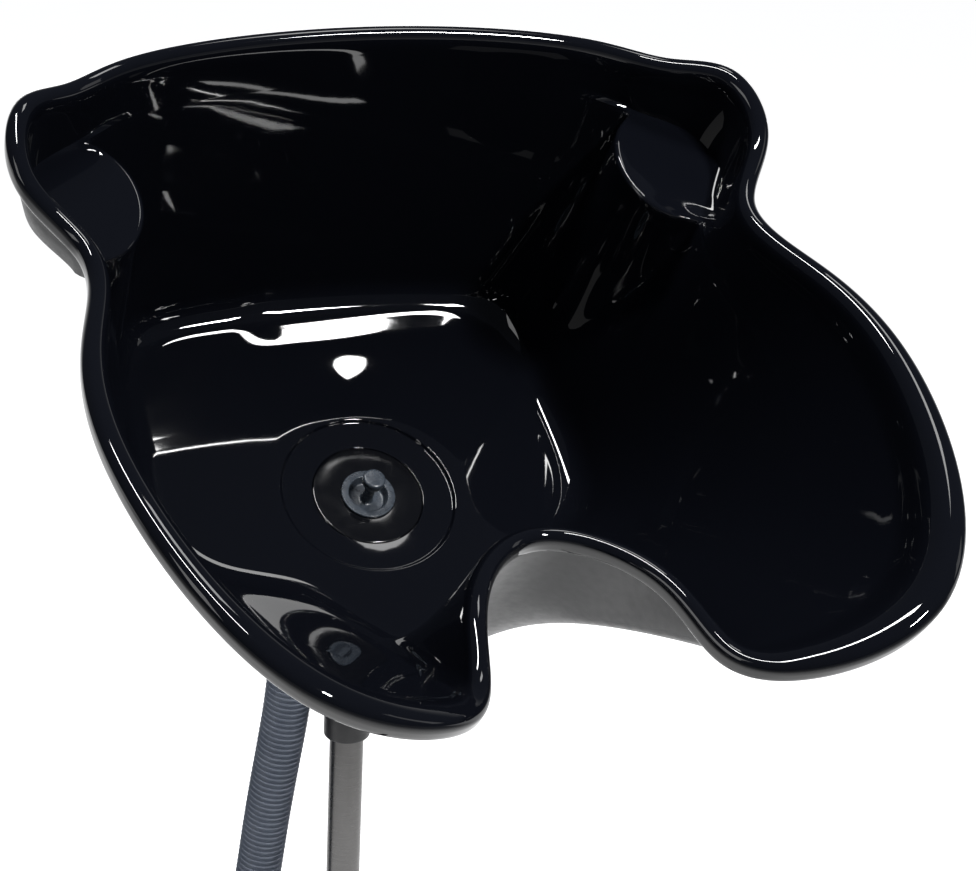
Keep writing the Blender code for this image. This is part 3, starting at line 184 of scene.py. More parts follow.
def rounded(corners, radius, steps, loop=False):
    """A line whose corners are rounded: near corner C it runs (1-t)^2 A + 2t(1-t) C + t^2 B.

    A and B lie on C's two edges, at the corner's radius from it or at half the edge.
    """
    corners = np.asarray(corners, float)
    radius = np.broadcast_to(np.asarray(radius, float), (len(corners),)).copy()
    if not loop:
        radius[[0, -1]] = 0.0
    back = np.roll(corners, 1, axis=0) - corners
    ahead = np.roll(corners, -1, axis=0) - corners
    back_length = np.maximum(np.linalg.norm(back, axis=1), TINY)
    ahead_length = np.maximum(np.linalg.norm(ahead, axis=1), TINY)
    first = corners + back * (np.minimum(radius, back_length * CORNER_share) / back_length)[:, None]
    last = corners + ahead * (np.minimum(radius, ahead_length * CORNER_share) / ahead_length)[:, None]
    t = np.linspace(0.0, 1.0, steps + 1)[None, :, None]
    bend = first[:, None] * (1 - t) ** 2 + corners[:, None] * 2 * t * (1 - t) + last[:, None] * t**2
    line = bend.reshape(-1, corners.shape[1])
    step = np.linalg.norm(np.diff(line, axis=0, prepend=line[:1] - 1.0), axis=1)
    return line[step > LEAST_STEP]


def revolve(profile, centre, axis, sides, closed=False, lobe=None):
    """A (radius, height) profile turned round an axis.

    Ring r, side s is centre + h_r axis + q (cos a_s u + sin a_s v), where q is the radius times
    lobe(a_s, r), or the plain radius.
    """
    profile = np.asarray(profile, float)
    angle = np.linspace(0.0, 2.0 * math.pi, sides, endpoint=False)
    u, v = across_ways(axis)
    reach = np.repeat(profile[:, :1], sides, axis=1)
    if lobe is not None:
        reach = reach * lobe(angle[None, :], profile)
    circle = np.cos(angle)[:, None] * u + np.sin(angle)[:, None] * v
    rings = np.asarray(centre, float) + profile[:, 1, None, None] * unit(axis) + reach[..., None] * circle
    return skin(rings, closed)


def slab(outline, rows, origin, ways):
    """A flat outline drawn in by each row's inset at its height, as rings from one face to the other.

    Ring r is origin + (outline - inset_r * outward) on the first two ways + height_r on the third.
    """
    outline = np.asarray(outline, float)
    out = square_to(outline)
    ahead = np.roll(outline, -1, axis=0)
    if np.sum(outline[:, 0] * ahead[:, 1] - ahead[:, 0] * outline[:, 1]) < 0.0:
        out = -out
    rows = np.asarray(rows, float)
    flat = outline[None] - rows[:, :1, None] * out[None]
    height = np.repeat(rows[:, 1:], len(outline), axis=1)
    rings = np.asarray(origin) + flat @ np.asarray(ways)[:2] + height[..., None] * np.asarray(ways)[2]
    return skin(rings)


def rounded_rows(low, high, edge, steps=5):
    """Slab rows whose two edges are quarter circles of the radius edge."""
    angle = np.linspace(0.0, math.pi / 2.0, steps + 1)
    inset = edge * (1.0 - np.sin(angle))
    drop = edge * (1.0 - np.cos(angle))
    lower = np.stack([inset, low + drop], axis=1)
    upper = np.stack([inset[::-1], high - drop[::-1]], axis=1)
    return np.vstack([lower, upper])


def between_knots(points, bends, place, after, there, step):
    """A cubic spline from knot P to Q, t of the way: h P + t Q + ((h^3 - h) p + (t^3 - t) q) s^2 / 6."""
    here = 1.0 - there
    curve = (here**3 - here) * bends[place] + (there**3 - there) * bends[after]
    return here * points[place] + there * points[after] + curve * step**2 / 6.0


def open_spline(points, count):
    """Evenly spaced points on the natural cubic curve through a route, and its way at each."""
    points = np.asarray(points, float)
    knots = np.concatenate([[0.0], np.cumsum(np.linalg.norm(np.diff(points, axis=0), axis=1))])
    steps = np.diff(knots)
    system = np.eye(len(points))
    target = np.zeros_like(points)
    inner = np.arange(1, len(points) - 1)
    before, after = steps[:-1], steps[1:]
    system[inner, inner - 1] = before
    system[inner, inner] = 2.0 * (before + after)
    system[inner, inner + 1] = after
    ahead = (points[2:] - points[1:-1]) / after[:, None]
    behind = (points[1:-1] - points[:-2]) / before[:, None]
    target[1:-1] = 6.0 * (ahead - behind)
    bends = np.linalg.solve(system, target)
    samples = np.linspace(0.0, knots[-1], count)
    place = np.clip(np.searchsorted(knots, samples, side="right") - 1, 0, len(steps) - 1)
    step = steps[place][:, None]
    there = (samples[:, None] - knots[place][:, None]) / step
    line = between_knots(points, bends, place, place + 1, there, step)
    return line, units(np.gradient(line, axis=0))


def tube_rings(line, way, radius, sides):
    """Circles along a line: centre + radius (cos a u + sin a v), u being X made square to the way."""
    u = units(X_WAY - way * way[:, :1])
    v = np.cross(way, u)
    angle = np.linspace(0.0, 2.0 * math.pi, sides, endpoint=False)
    radius = np.broadcast_to(np.asarray(radius, float), (len(line),))[:, None, None]
    circle = np.cos(angle)[None, :, None] * u[:, None] + np.sin(angle)[None, :, None] * v[:, None]
    return line[:, None] + radius * circle


def make_piece(name, body, finish, shape, stands_for, smooth_deg=40.0):
    """Puts a shape's points and faces into an object that rides on a body, in place of a solid."""
    points, faces = shape
    mesh = bpy.data.meshes.new(name)
    mesh.from_pydata(points.tolist(), [], faces)
    mesh.update()
    mesh.materials.append(FINISHES[finish])
    mesh.shade_smooth()
    mesh.set_sharp_from_angle(angle=math.radians(smooth_deg))
    thing = bpy.data.objects.new(name, mesh)
    bpy.context.scene.collection.objects.link(thing)
    if body:
        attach(thing, body)
    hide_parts(*stands_for)
    return thing


# ---------------- finishes

# The noise values between which a roughness or a tint runs from one end to the other
ROUGH_FROM = (0.30, 0.70)
TINT_FROM = (0.35, 0.65)


def given(node, **values):
    """The node with the inputs named given their values; an underscore stands for a space."""
    for name, value in values.items():
        node.inputs[name.replace("_", " ")].default_value = value
    return node


def mapped(nodes, links, source, low, high, at):
    """A Map Range node's result: low to high as the source runs between two values."""
    node = given(nodes.new("ShaderNodeMapRange"), From_Min=at[0], From_Max=at[1], To_Min=low, To_Max=high)
    links.new(source, node.inputs["Value"])
    return node.outputs["Result"]


def mixed(nodes, links, share, first, second):
    """A Mix node's colour: from the first to the second as the share grows from none to all."""
    node = nodes.new("ShaderNodeMix")
    node.data_type = "RGBA"
    given(node, A=(*first, 1.0), B=(*second, 1.0))
    links.new(share, node.inputs["Factor"])
    return node.outputs["Result"]


class Finish:
    """A node-based material in the making: a Principled shader, noises on Object coordinates."""

    def __init__(self, name, colour, roughness, metallic=0.0, **more):
        self.material = bpy.data.materials.new(name)
        self.material.use_nodes = True
        self.nodes = self.material.node_tree.nodes
        self.links = self.material.node_tree.links
        self.shader = given(self.nodes["Principled BSDF"], Base_Color=(*colour, 1.0), Roughness=roughness,
                            Metallic=metallic, **more)
        self.colour = colour
        self.place = self.nodes.new("ShaderNodeTexCoord").outputs["Object"]
        self.bump = None

    def noise(self, scale, detail, roughness=0.5, stretch=None):
        """A noise of that many waves to the metre, drawn out where stretch is below 1."""
        texture = given(self.nodes.new("ShaderNodeTexNoise"), Scale=scale, Detail=detail, Roughness=roughness)
        source = self.place
        if stretch is not None:
            mapping = given(self.nodes.new("ShaderNodeMapping"), Scale=stretch)
            self.links.new(source, mapping.inputs["Vector"])
            source = mapping.outputs["Vector"]
        self.links.new(source, texture.inputs["Vector"])
        return texture.outputs["Fac"]

    def rough(self, scale, detail, low, high, *grain):
        """Roughness that wanders between two values."""
        source = self.noise(scale, detail, *grain)
        wandering = mapped(self.nodes, self.links, source, low, high, ROUGH_FROM)
        self.links.new(wandering, self.shader.inputs["Roughness"])

    def tint(self, scale, detail, other, *grain):
        """Colour that wanders between the finish's own and another."""
        source = self.noise(scale, detail, *grain)
        share = mapped(self.nodes, self.links, source, 0.0, 1.0, TINT_FROM)
        wandering = mixed(self.nodes, self.links, share, self.colour, other)
        self.links.new(wandering, self.shader.inputs["Base Color"])

    def relief(self, scale, detail, depth, *grain):
        """Adds a bump of that depth in metres on top of the ones before it."""
        source = self.noise(scale, detail, *grain)
        bump = given(self.nodes.new("ShaderNodeBump"), Distance=depth, Strength=1.0)
        self.links.new(source, bump.inputs["Height"])
        if self.bump is not None:
            self.links.new(self.bump, bump.inputs["Normal"])
        self.bump = bump.outputs["Normal"]
        self.links.new(self.bump, self.shader.inputs["Normal"])


def all_finishes():
    """Every finish on the object, by a short name."""
    gloss = Finish("gloss_black_moulding", (0.0030, 0.0035, 0.0055), 0.024, IOR=1.50)
    gloss.rough(22.0, 3.0, 0.018, 0.034)
    gloss.relief(9.0, 1.0, 0.00007)
    gloss.relief(60.0, 2.0, 0.00001)
    outside = Finish("satin_black_moulding", (0.0050, 0.0055, 0.0070), 0.36, IOR=1.50)
    outside.rough(180.0, 3.0, 0.32, 0.42)
    outside.relief(1500.0, 2.0, 0.00003)
    satin = Finish("satin_black_plastic", (0.014, 0.014, 0.016), 0.42, IOR=1.48)
    satin.rough(140.0, 3.0, 0.36, 0.50)
    satin.relief(1400.0, 2.0, 0.00006)
    painted = Finish("black_painted_steel", (0.017, 0.017, 0.019), 0.32, IOR=1.50)
    painted.rough(60.0, 3.0, 0.28, 0.40)
    painted.relief(900.0, 3.0, 0.00008)
    steel = Finish("satin_steel", (0.150, 0.147, 0.145), 0.30, 1.0)
    steel.rough(900.0, 4.0, 0.24, 0.36, 0.6, (0.06, 0.06, 1.0))
    steel.tint(26.0, 3.0, (0.115, 0.112, 0.110), 0.5, (1.0, 1.0, 0.15))
    steel.relief(1600.0, 3.0, 0.00002, 0.5, (0.05, 0.05, 1.0))
    zinc = Finish("plated_steel", (0.46, 0.46, 0.47), 0.34, 1.0)
    zinc.rough(400.0, 3.0, 0.28, 0.44)
    zinc.relief(1800.0, 2.0, 0.00003)
    rubber = Finish("black_rubber", (0.016, 0.016, 0.016), 0.78)
    rubber.rough(200.0, 3.0, 0.70, 0.88)
    rubber.relief(1100.0, 3.0, 0.00012)
    hose = Finish("grey_hose", (0.400, 0.445, 0.530), 0.42, IOR=1.48)
    hose.rough(90.0, 3.0, 0.36, 0.52)
    hose.tint(55.0, 4.0, (0.330, 0.372, 0.455))
    cuff = Finish("grey_cuff", (0.052, 0.060, 0.088), 0.52)
    cuff.rough(160.0, 3.0, 0.46, 0.62)
    cuff.relief(900.0, 2.0, 0.00008)
    plug = Finish("grey_plug", (0.070, 0.086, 0.108), 0.24, IOR=1.45, Transmission_Weight=0.35)
    plug.rough(240.0, 3.0, 0.20, 0.36)
    plug.tint(130.0, 3.0, (0.050, 0.062, 0.080))
    fitting = Finish("gloss_black_fitting", (0.0035, 0.0038, 0.0050), 0.09, IOR=1.50)
    fitting.rough(120.0, 3.0, 0.07, 0.13)
    made = {
        "gloss": gloss, "outside": outside, "satin": satin, "painted": painted, "steel": steel,
        "zinc": zinc, "rubber": rubber, "hose": hose, "cuff": cuff, "plug": plug, "fitting": fitting,
    }
    return {name: made_one.material for name, made_one in made.items()}


SLOTS = {
    "gloss": "gloss_black_moulding", "satin": "satin_black_plastic", "painted": "black_painted_steel",
    "steel": "satin_steel", "zinc": "satin_steel", "rubber": "black_rubber", "hose": "grey_hose",
    "cuff": "grey_cuff", "plug": "grey_plug", "fitting": "satin_black_plastic",
}

# ---------------- hose

HOSE_R = 0.0165
HOSE_RIB = 0.0015
HOSE_BORE_R = 0.0133
HOSE_PITCH = 0.0042
HOSE_SAMPLES_PER_RIB = 6
HOSE_SIDES = 32
HOSE_RIB_POWER = 0.7
# The route from the spigot down to the hose's end, from the drain's centre
HOSE_ROUTE = (
    (-0.0338, 0.0307, -0.0690),
    (-0.0365, 0.0355, -0.1100),
    (-0.0387, 0.0400, -0.1500),
    (-0.0405, 0.0425, -0.1750),
    (-0.0432, 0.0450, -0.2000),
    (-0.0480, 0.0490, -0.2400),
    (-0.0522, 0.0530, -0.2800),
    (-0.0556, 0.0560, -0.3150),
    (-0.0610, 0.0600, -0.3600),
    (-0.0655, 0.0628, -0.4050),
    (-0.0688, 0.0648, -0.4600),
    (-0.0702, 0.0662, -0.5300),
    (-0.0706, 0.0670, -0.6100),
    (-0.0706, 0.0672, -0.6700),
    (-0.0706, 0.0672, -0.7400),
)
HOSE_PATH_POINTS = 200
CUFF_LENGTH = 0.0500
CUFF_R = 0.0186
CUFF_LIP = 0.0050
CUFF_LIP_R = 0.0140
# Each end of the cuff has a raised band; between them it is drawn in
CUFF_BAND = 0.0100
CUFF_BAND_FOOT = 0.0110
CUFF_WAIST_R = 0.0180
CLIP_R = 0.0186
CLIP_WIDTH = 0.0100
CLIP_FROM_TOP = 0.0080
CLIP_SCREW_R = 0.0030
CLIP_SCREW_HALF = 0.0065
CLIP_HEAD = 0.0030
CLIP_HEAD_FOOT = 0.0036
CLIP_WORM_R = 0.0023
CLIP_SCREW_END = 0.0055


def hose_pieces():
    """Ribbed hose, its cuff, and the clip that holds it on the spigot.

    The hose's radius along its length s is R - rib (0.5 + 0.5 cos(2 pi s / pitch)) ** HOSE_RIB_POWER.
    """
    route = np.array(HOSE_ROUTE) + DRAIN
    path, path_way = open_spline(route, HOSE_PATH_POINTS)
    length = float(np.sum(np.linalg.norm(np.diff(path, axis=0), axis=1)))
    ribs = round(length / HOSE_PITCH)
    line, way = open_spline(route, ribs * HOSE_SAMPLES_PER_RIB + 1)
    turn = np.arange(len(line)) / HOSE_SAMPLES_PER_RIB
    trough = (0.5 + 0.5 * np.cos(2.0 * math.pi * turn)) ** HOSE_RIB_POWER
    outer = tube_rings(line, way, HOSE_R - HOSE_RIB * trough, HOSE_SIDES)
    inner = tube_rings(line[::-1], way[::-1], HOSE_BORE_R, HOSE_SIDES)
    hose = make_piece("drain_hose_ribbed", None, "hose",
                      skin(np.concatenate([outer, inner]), True), ("drain_hose",), 60.0)
    end, way_out = line[-1], way[-1]
    top = CUFF_LIP - CUFF_LENGTH
    cuff_profile = rounded([
        (CUFF_LIP_R, GAP), (CUFF_LIP_R, CUFF_LIP), (CUFF_R, CUFF_LIP), (CUFF_R, CUFF_LIP - CUFF_BAND),
        (CUFF_WAIST_R, CUFF_LIP - CUFF_BAND_FOOT), (CUFF_WAIST_R, top + CUFF_BAND_FOOT),
        (CUFF_R, top + CUFF_BAND), (CUFF_R, top), (HOSE_R + GAP, top), (HOSE_R + GAP, GAP),
    ], 0.0008, 3, True)
    cuff = make_piece("hose_end_cuff", None, "cuff",
                      revolve(cuff_profile, end, way_out, 64, True), ("hose_cuff",))
    for thing in (hose, cuff):
        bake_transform(thing)
    clip, way_down = line[0] + way[0] * CLIP_FROM_TOP, way[0]
    band = rounded([(CLIP_R, 0.0), (CLIP_R, CLIP_WIDTH), (HOSE_R + GAP, CLIP_WIDTH), (HOSE_R + GAP, 0.0)],
                   0.0009, 3, True)
    make_piece("hose_clip_band", "bowl", "zinc",
               revolve(band, clip, way_down, 64, True), ("hose_clip",))
    u, v = along_ways(way_down)
    spot = clip + v * (CLIP_R + CLIP_SCREW_R + GAP) + way_down * CLIP_WIDTH / 2.0
    barrel = rounded([
        (NEAR_AXIS, -CLIP_SCREW_HALF), (CLIP_SCREW_R, -CLIP_SCREW_HALF),
        (CLIP_SCREW_R, CLIP_HEAD - CLIP_SCREW_HALF), (CLIP_WORM_R, CLIP_HEAD_FOOT - CLIP_SCREW_HALF),
        (CLIP_WORM_R, CLIP_SCREW_END), (NEAR_AXIS, CLIP_SCREW_END),
    ], 0.0004, 3)
    make_piece("hose_clip_worm", "bowl", "zinc",
               revolve(barrel, spot, u, 32), ("hose_clip_screw",))


def along_ways(way):
    """The two ways across a piece that part.py points along a way, with its own Y kept up."""
    turn = np.array(Vector(way).to_track_quat("Z", "Y").to_matrix())
    return turn[:, 0], turn[:, 1]


# ---------------- bowl

HALF_WIDTH = 0.2371
BACK_REACH = 0.2029
FRONT_REACH = 0.2910
WALL_HEIGHT = 0.2400
FLOOR_HALF_WIDTH = 0.1520
FLOOR_BACK_REACH = 0.1580
FLOOR_FRONT_REACH = 0.1180
SHELL = 0.0038
RIM_ROLL_R = 0.0062
LEDGE_HEIGHT = 0.1900
RIM_shares = (
    (0.000, 1.000, 0.911),
    (0.651, 0.896, 0.919),
    (0.829, 0.780, 0.943),
    (0.966, 0.665, 0.991),
    (1.000, 0.416, 0.964),
    (0.890, 0.178, 0.933),
    (0.946, -0.101, 1.004),
    (0.988, -0.442, 1.100),
    (0.743, -0.936, 1.159),
    (0.420, -1.000, 1.053),
    (0.276, -0.908, 0.965),
    (0.203, -0.730, 0.934),
    (0.000, -0.590, 0.865),
)
FLOOR_shares = (
    (0.000, 1.000),
    (0.645, 0.968),
    (0.829, 0.899),
    (0.921, 0.772),
    (0.974, 0.608),
    (0.993, 0.380),
    (1.000, 0.095),
    (0.940, -0.210),
    (0.730, -0.450),
    (0.460, -0.610),
    (0.310, -0.775),
    (0.180, -0.930),
    (0.000, -1.060),
)
BEND_shares = (1.22, 1.25, 1.33, 1.18, 1.02, 1.00, 1.00, 1.00, 0.94, 0.87, 0.92, 1.12, 1.32)
STEPS_BETWEEN = 20
FLOOR_FILLET = 0.0180
FILLET_RINGS = 13
LEDGE_ACROSS = 0.1920
LEDGE_BACK = 0.1040
LEDGE_DEPTH = 0.0360
LEDGE_HALF_LENGTH = 0.0460
LEDGE_LIP = 0.0030
LEDGE_END_share = 0.97
LEDGE_FADE_share = 1.45
LEDGE_DISH = 0.0012
LEDGE_RISE_share = 0.2
COLUMN_SOFT = 0.0080
COLUMN_STEEP = 3.0
# How many rings each stretch of the wall has, and the stretches that the outer skin leaves out
WALL_RINGS = 31
LEDGE_LIP_RINGS = 7
SHELF_RINGS = 15
POD_RINGS = 13
BELOW_LEDGE_share = 0.93
POD_FOLLOWED_shares = (0.20, 0.45)
# The wall's last rings give way to the lip: its outer rounding, its pull, and the skirt below it
LIP_RINGS = 5
LIP_R = 0.0055
LIP_PULL_share = 0.38
FLARE_RINGS = 19
ROUNDING_RINGS = 11
SKIRT_STEPS = (
    (0.0, 0.0030), (0.0, 0.0052), (0.0003, 0.0060), (0.0011, 0.0064), (0.0019, 0.0060), (0.0023, 0.0050),
    (0.0028, 0.0010), (0.0045, -0.0005), (0.0075, -0.0002),
)
# The floor's slight ramp in front of the back wall, and the shallow sink mark before it
RAMP_START = 0.1260
RAMP_SLOPE = 0.1050
RAMP_SOFT = 0.0020
RAMP_MIDDLE = 0.0400
RAMP_HALF = 0.0680
RAMP_FADE = 0.0300
SINK_MIDDLE = (0.0080, 0.0890)
SINK_HALF = (0.0260, 0.0200)
SINK = 0.0020
FLOOR_RINGS = 40
# The rings at the end of the skin that lie under the outer wall
OUTSIDE_RINGS = 3
DISH_R = 0.0590
DISH_SLOPE = 0.0012
DISH_DEPTH = 0.0024
DISH_MARGIN = 0.0120
FLANGE_R = 0.0372
FLANGE_THICK = 0.0026
DRAIN_HOLE_R = 0.0225


def closed_spline(points, knots, span, samples):
    """The periodic cubic curve through points at their knots, read at samples."""
    count = len(points)
    steps = np.diff(np.append(knots, span))
    before = np.roll(steps, 1)
    system = np.zeros((count, count))
    rows = np.arange(count)
    system[rows, rows] = 2.0 * (before + steps)
    system[rows, (rows - 1) % count] += before
    system[rows, (rows + 1) % count] += steps
    slope = (np.roll(points, -1, axis=0) - points) / steps[:, None]
    bends = np.linalg.solve(system, 6.0 * (slope - np.roll(slope, 1, axis=0)))
    place = np.searchsorted(knots, samples, side="right") - 1
    there = ((samples - knots[place]) / steps[place])[:, None]
    return between_knots(points, bends, place, (place + 1) % count, there, steps[place][:, None])


def mirrored(half, flip=True):
    """Adds the left half of a right half's rows, its first column negated where flip is true."""
    other = half[-2:0:-1].copy()
    if flip:
        other[:, 0] *= -1.0
    return np.vstack([half, other])


def bowl_outlines():
    """The rim, the floor's edge and the wall's bend as closed rings, from their shares."""
    rim = np.array(RIM_shares) * (HALF_WIDTH, 1.0, WALL_HEIGHT)
    rim[:, 1] *= np.where(rim[:, 1] > 0.0, BACK_REACH, FRONT_REACH)
    floor = np.array(FLOOR_shares) * (FLOOR_HALF_WIDTH, 1.0)
    floor[:, 1] *= np.where(floor[:, 1] > 0.0, FLOOR_BACK_REACH, FLOOR_FRONT_REACH)
    rim, floor = mirrored(rim), mirrored(floor)
    bend = mirrored(np.array(BEND_shares)[:, None], False)
    chords = np.linalg.norm(np.roll(rim, -1, axis=0) - rim, axis=1)
    knots = np.concatenate([[0.0], np.cumsum(np.sqrt(chords))])
    share = np.arange(STEPS_BETWEEN) / STEPS_BETWEEN
    samples = (knots[:-1, None] + np.diff(knots)[:, None] * share).ravel()
    rim, floor, bend = (closed_spline(rows, knots[:-1], knots[-1], samples) for rows in (rim, floor, bend))
    return rim, floor, bend[:, 0]


def outward_in_plan(ring):
    """Unit ways out of a closed ring, level with the bowl's floor."""
    run = np.roll(ring, -1, axis=0) - np.roll(ring, 1, axis=0)
    out = units(np.stack([-run[:, 1], run[:, 0], np.zeros(len(ring))], axis=1))
    return out if np.sum(out[:, :2] * ring[:, :2]) > 0.0 else -out


def column_push(plan):
    """How far the column under a ledge pushes the wall inwards: half an ellipse, softly joined."""
    aside = np.abs((plan[:, 1] - LEDGE_BACK) / LEDGE_HALF_LENGTH)
    front = LEDGE_DEPTH * np.sqrt(np.maximum(1.0 - aside**2, 0.0))
    front -= COLUMN_STEEP * LEDGE_HALF_LENGTH * np.maximum(aside - 1.0, 0.0)
    push = front - (LEDGE_ACROSS - np.abs(plan[:, 0]))
    return (push + np.sqrt(push**2 + COLUMN_SOFT**2)) / 2.0


def pushed_in(plan, push, level):
    """A ring of wall points moved in by push, at the given heights."""
    return np.column_stack([plan[:, 0] - np.sign(plan[:, 0]) * push, plan[:, 1], level])


def wall_rings(rim, floor, bend, ways, out):
    """Inner wall: at the height h it has run (h / H) ** (1 / bend) of the way from floor to rim.

    A ledge stands on its column, has a quarter-round lip, dips by a shallow dish and then runs
    to the pod's outer wall. Returns the rings and which of them the outer skin follows.
    """
    top = rim - out * RIM_ROLL_R * 2.0
    height = top[:, 2]

    def plan_at(level, pod=0.0, reach=0.0, share=1.0):
        run = (level / height) ** (1.0 / bend)
        run = run + (reach - run) * pod * share
        return floor + (top[:, :2] - floor) * run[:, None]

    inside = floor - ways * FLOOR_FILLET
    low = np.full(len(rim), FLOOR_FILLET)
    upper = plan_at(low)
    rings, behind = [], []

    def add(ring, followed=True):
        if followed:
            behind.append(len(rings))
        rings.append(ring)

    for share in np.linspace(0.0, 1.0, FILLET_RINGS):
        rest = 1.0 - share
        plan = inside * rest**2 + floor * 2.0 * share * rest + upper * share**2
        add(pushed_in(plan, column_push(plan) * share, low * share**2))
    flat = np.full(len(rim), LEDGE_HEIGHT)
    start = FLOOR_FILLET / LEDGE_HEIGHT
    end = 1.0 - LEDGE_LIP / LEDGE_HEIGHT
    for share in np.linspace(start, end, WALL_RINGS)[1:]:
        plan = plan_at(flat * share)
        add(pushed_in(plan, column_push(plan), flat * share), share < BELOW_LEDGE_share)
    edge = plan_at(flat)
    push = column_push(edge)
    turns = np.linspace(0.0, math.pi / 2.0, LEDGE_LIP_RINGS)[1:]
    for angle in turns:
        level = flat - LEDGE_LIP * (1.0 - math.sin(angle))
        plan = plan_at(level)
        drawn = np.maximum(column_push(plan) - LEDGE_LIP * (1.0 - math.cos(angle)), 0.0)
        add(pushed_in(plan, drawn, level), angle == turns[-1])
    aside = np.abs((edge[:, 1] - LEDGE_BACK) / LEDGE_HALF_LENGTH)
    fade = np.clip((LEDGE_FADE_share - aside) / (LEDGE_FADE_share - 1.0), 0.0, 1.0)
    pod = fade**2 * (3.0 - 2.0 * fade)
    spare = height - flat
    shelf = flat + spare * LEDGE_RISE_share * (1.0 - pod)
    on_ledge = np.clip(push / LEDGE_DEPTH * 2.0, 0.0, 1.0)
    for share in np.linspace(0.0, 1.0, SHELF_RINGS)[1:]:
        level = flat + (shelf - flat) * share
        kept = np.maximum(push - LEDGE_LIP, 0.0) * (1.0 - share)
        dish = LEDGE_DISH * np.sin(math.pi * share) * pod * on_ledge
        add(pushed_in(plan_at(level, pod, LEDGE_END_share, share), kept, level - dish), share == 1.0)
    least, most = POD_FOLLOWED_shares
    for share in np.linspace(0.0, 1.0, POD_RINGS)[1:]:
        level = shelf + (height - shelf) * share
        steep = LEDGE_END_share + (1.0 - LEDGE_END_share) * share
        add(pushed_in(plan_at(level, pod, steep), np.zeros(len(rim)), level), least < share < most)
    return rings, behind


def pushed_out(grid, distance):
    """A grid moved by distance along its outer side's normal."""
    around = np.roll(grid, -1, axis=1) - np.roll(grid, 1, axis=1)
    normal = np.cross(around, np.gradient(grid, axis=0))
    normal /= np.maximum(np.linalg.norm(normal, axis=2), LEAST_STEP)[:, :, None]
    if np.mean(normal[0, :, 2]) > 0.0:
        normal = -normal
    return grid + normal * distance


def lip_rings(start, way, rim, out):
    """The wall flaring over into the edge, and the edge's skirt, back to the wall's outer side.

    The flare is a cubic Bezier curve from the wall to the lip's crest, then a quarter circle.
    """
    crest = rim - out * LIP_R + Z_WAY * RIM_ROLL_R
    run = np.linalg.norm(crest - start, axis=1)[:, None] * LIP_PULL_share
    leave = start + units(way) * run
    arrive = crest - out * run
    rings = []
    for there in np.linspace(0.0, 1.0, FLARE_RINGS)[1:]:
        rings.append(cubic(start, leave, arrive, crest, there))
    for angle in np.linspace(0.0, math.pi / 2.0, ROUNDING_RINGS)[1:]:
        rings.append(crest + out * LIP_R * math.sin(angle) - Z_WAY * LIP_R * (1.0 - math.cos(angle)))
    edge = rings[-1]
    for inwards, down in SKIRT_STEPS:
        rings.append(edge - out * inwards - Z_WAY * down)
    return rings


def floor_wave(plan):
    """The floor's height: a softly starting ramp that fades to its sides, less a bell-shaped sink mark."""
    past = plan[:, 1] - RAMP_START
    ramp = RAMP_SLOPE * (past + np.sqrt(past**2 + RAMP_SOFT**2)) / 2.0
    beside = np.clip((np.abs(plan[:, 0] - RAMP_MIDDLE) - RAMP_HALF) / RAMP_FADE, 0.0, 1.0)
    away = (plan[:, :2] - SINK_MIDDLE) / SINK_HALF
    return ramp * (1.0 - beside**2 * (3.0 - 2.0 * beside)) - SINK * np.exp(-np.sum(away**2, axis=1))


def bowl_piece():
    """The whole moulding as one closed skin: drain seat, dish, floor, wall, rolled edge, outside."""
    rim, floor, bend = bowl_outlines()
    out = outward_in_plan(rim)
    ways = units(floor)

    def ring_at(radius, level):
        return np.column_stack([ways * radius, np.full(len(ways), level)])

    seat = -DISH_DEPTH - FLANGE_THICK
    dish = rounded([
        (DRAIN_HOLE_R, seat), (FLANGE_R + GAP, seat), (FLANGE_R + GAP, -DISH_DEPTH),
        (DISH_R - DISH_SLOPE, -DISH_DEPTH), (DISH_R, 0.0), (DISH_R + DISH_MARGIN, 0.0),
    ], (0.0, 0.0004, 0.0005, 0.0009, 0.0009, 0.0), 4)
    rings = [ring_at(radius, level) for radius, level in dish]
    walls, behind = wall_rings(rim, floor, bend, ways, out)
    for share in np.linspace(0.0, 1.0, FLOOR_RINGS)[1:-1]:
        ring = rings[len(dish) - 1] * (1.0 - share) + walls[0] * share
        ring[:, 2] += floor_wave(ring)
        rings.append(ring)
    for share, ring in zip(np.linspace(1.0, 0.0, FILLET_RINGS), walls):
        ring[:, 2] += floor_wave(ring) * share
    rings += walls[:-LIP_RINGS]
    rings += lip_rings(walls[-LIP_RINGS - 1], walls[-LIP_RINGS] - walls[-LIP_RINGS - 2], rim, out)
    outer = pushed_out(np.stack([walls[index] for index in behind]), SHELL)[::-1]
    rings += list(outer)
    under = seat - SHELL
    rings += [ring_at(FLANGE_R + SHELL, -SHELL), ring_at(FLANGE_R, under), ring_at(DRAIN_HOLE_R, under)]
    grid = np.stack(rings) @ BOWL_WAYS + DRAIN
    bowl = make_piece("bowl_moulding", "bowl", "gloss", skin(grid, True), ("bowl_shell",), 60.0)
    bowl.data.materials.append(FINISHES["outside"])
    first_outside = (len(grid) - OUTSIDE_RINGS - len(outer)) * grid.shape[1]
    is_outside = np.arange(len(bowl.data.polygons)) >= first_outside
    bowl.data.polygons.foreach_set("material_index", is_outside.astype(np.int32))


# ---------------- drain fittings

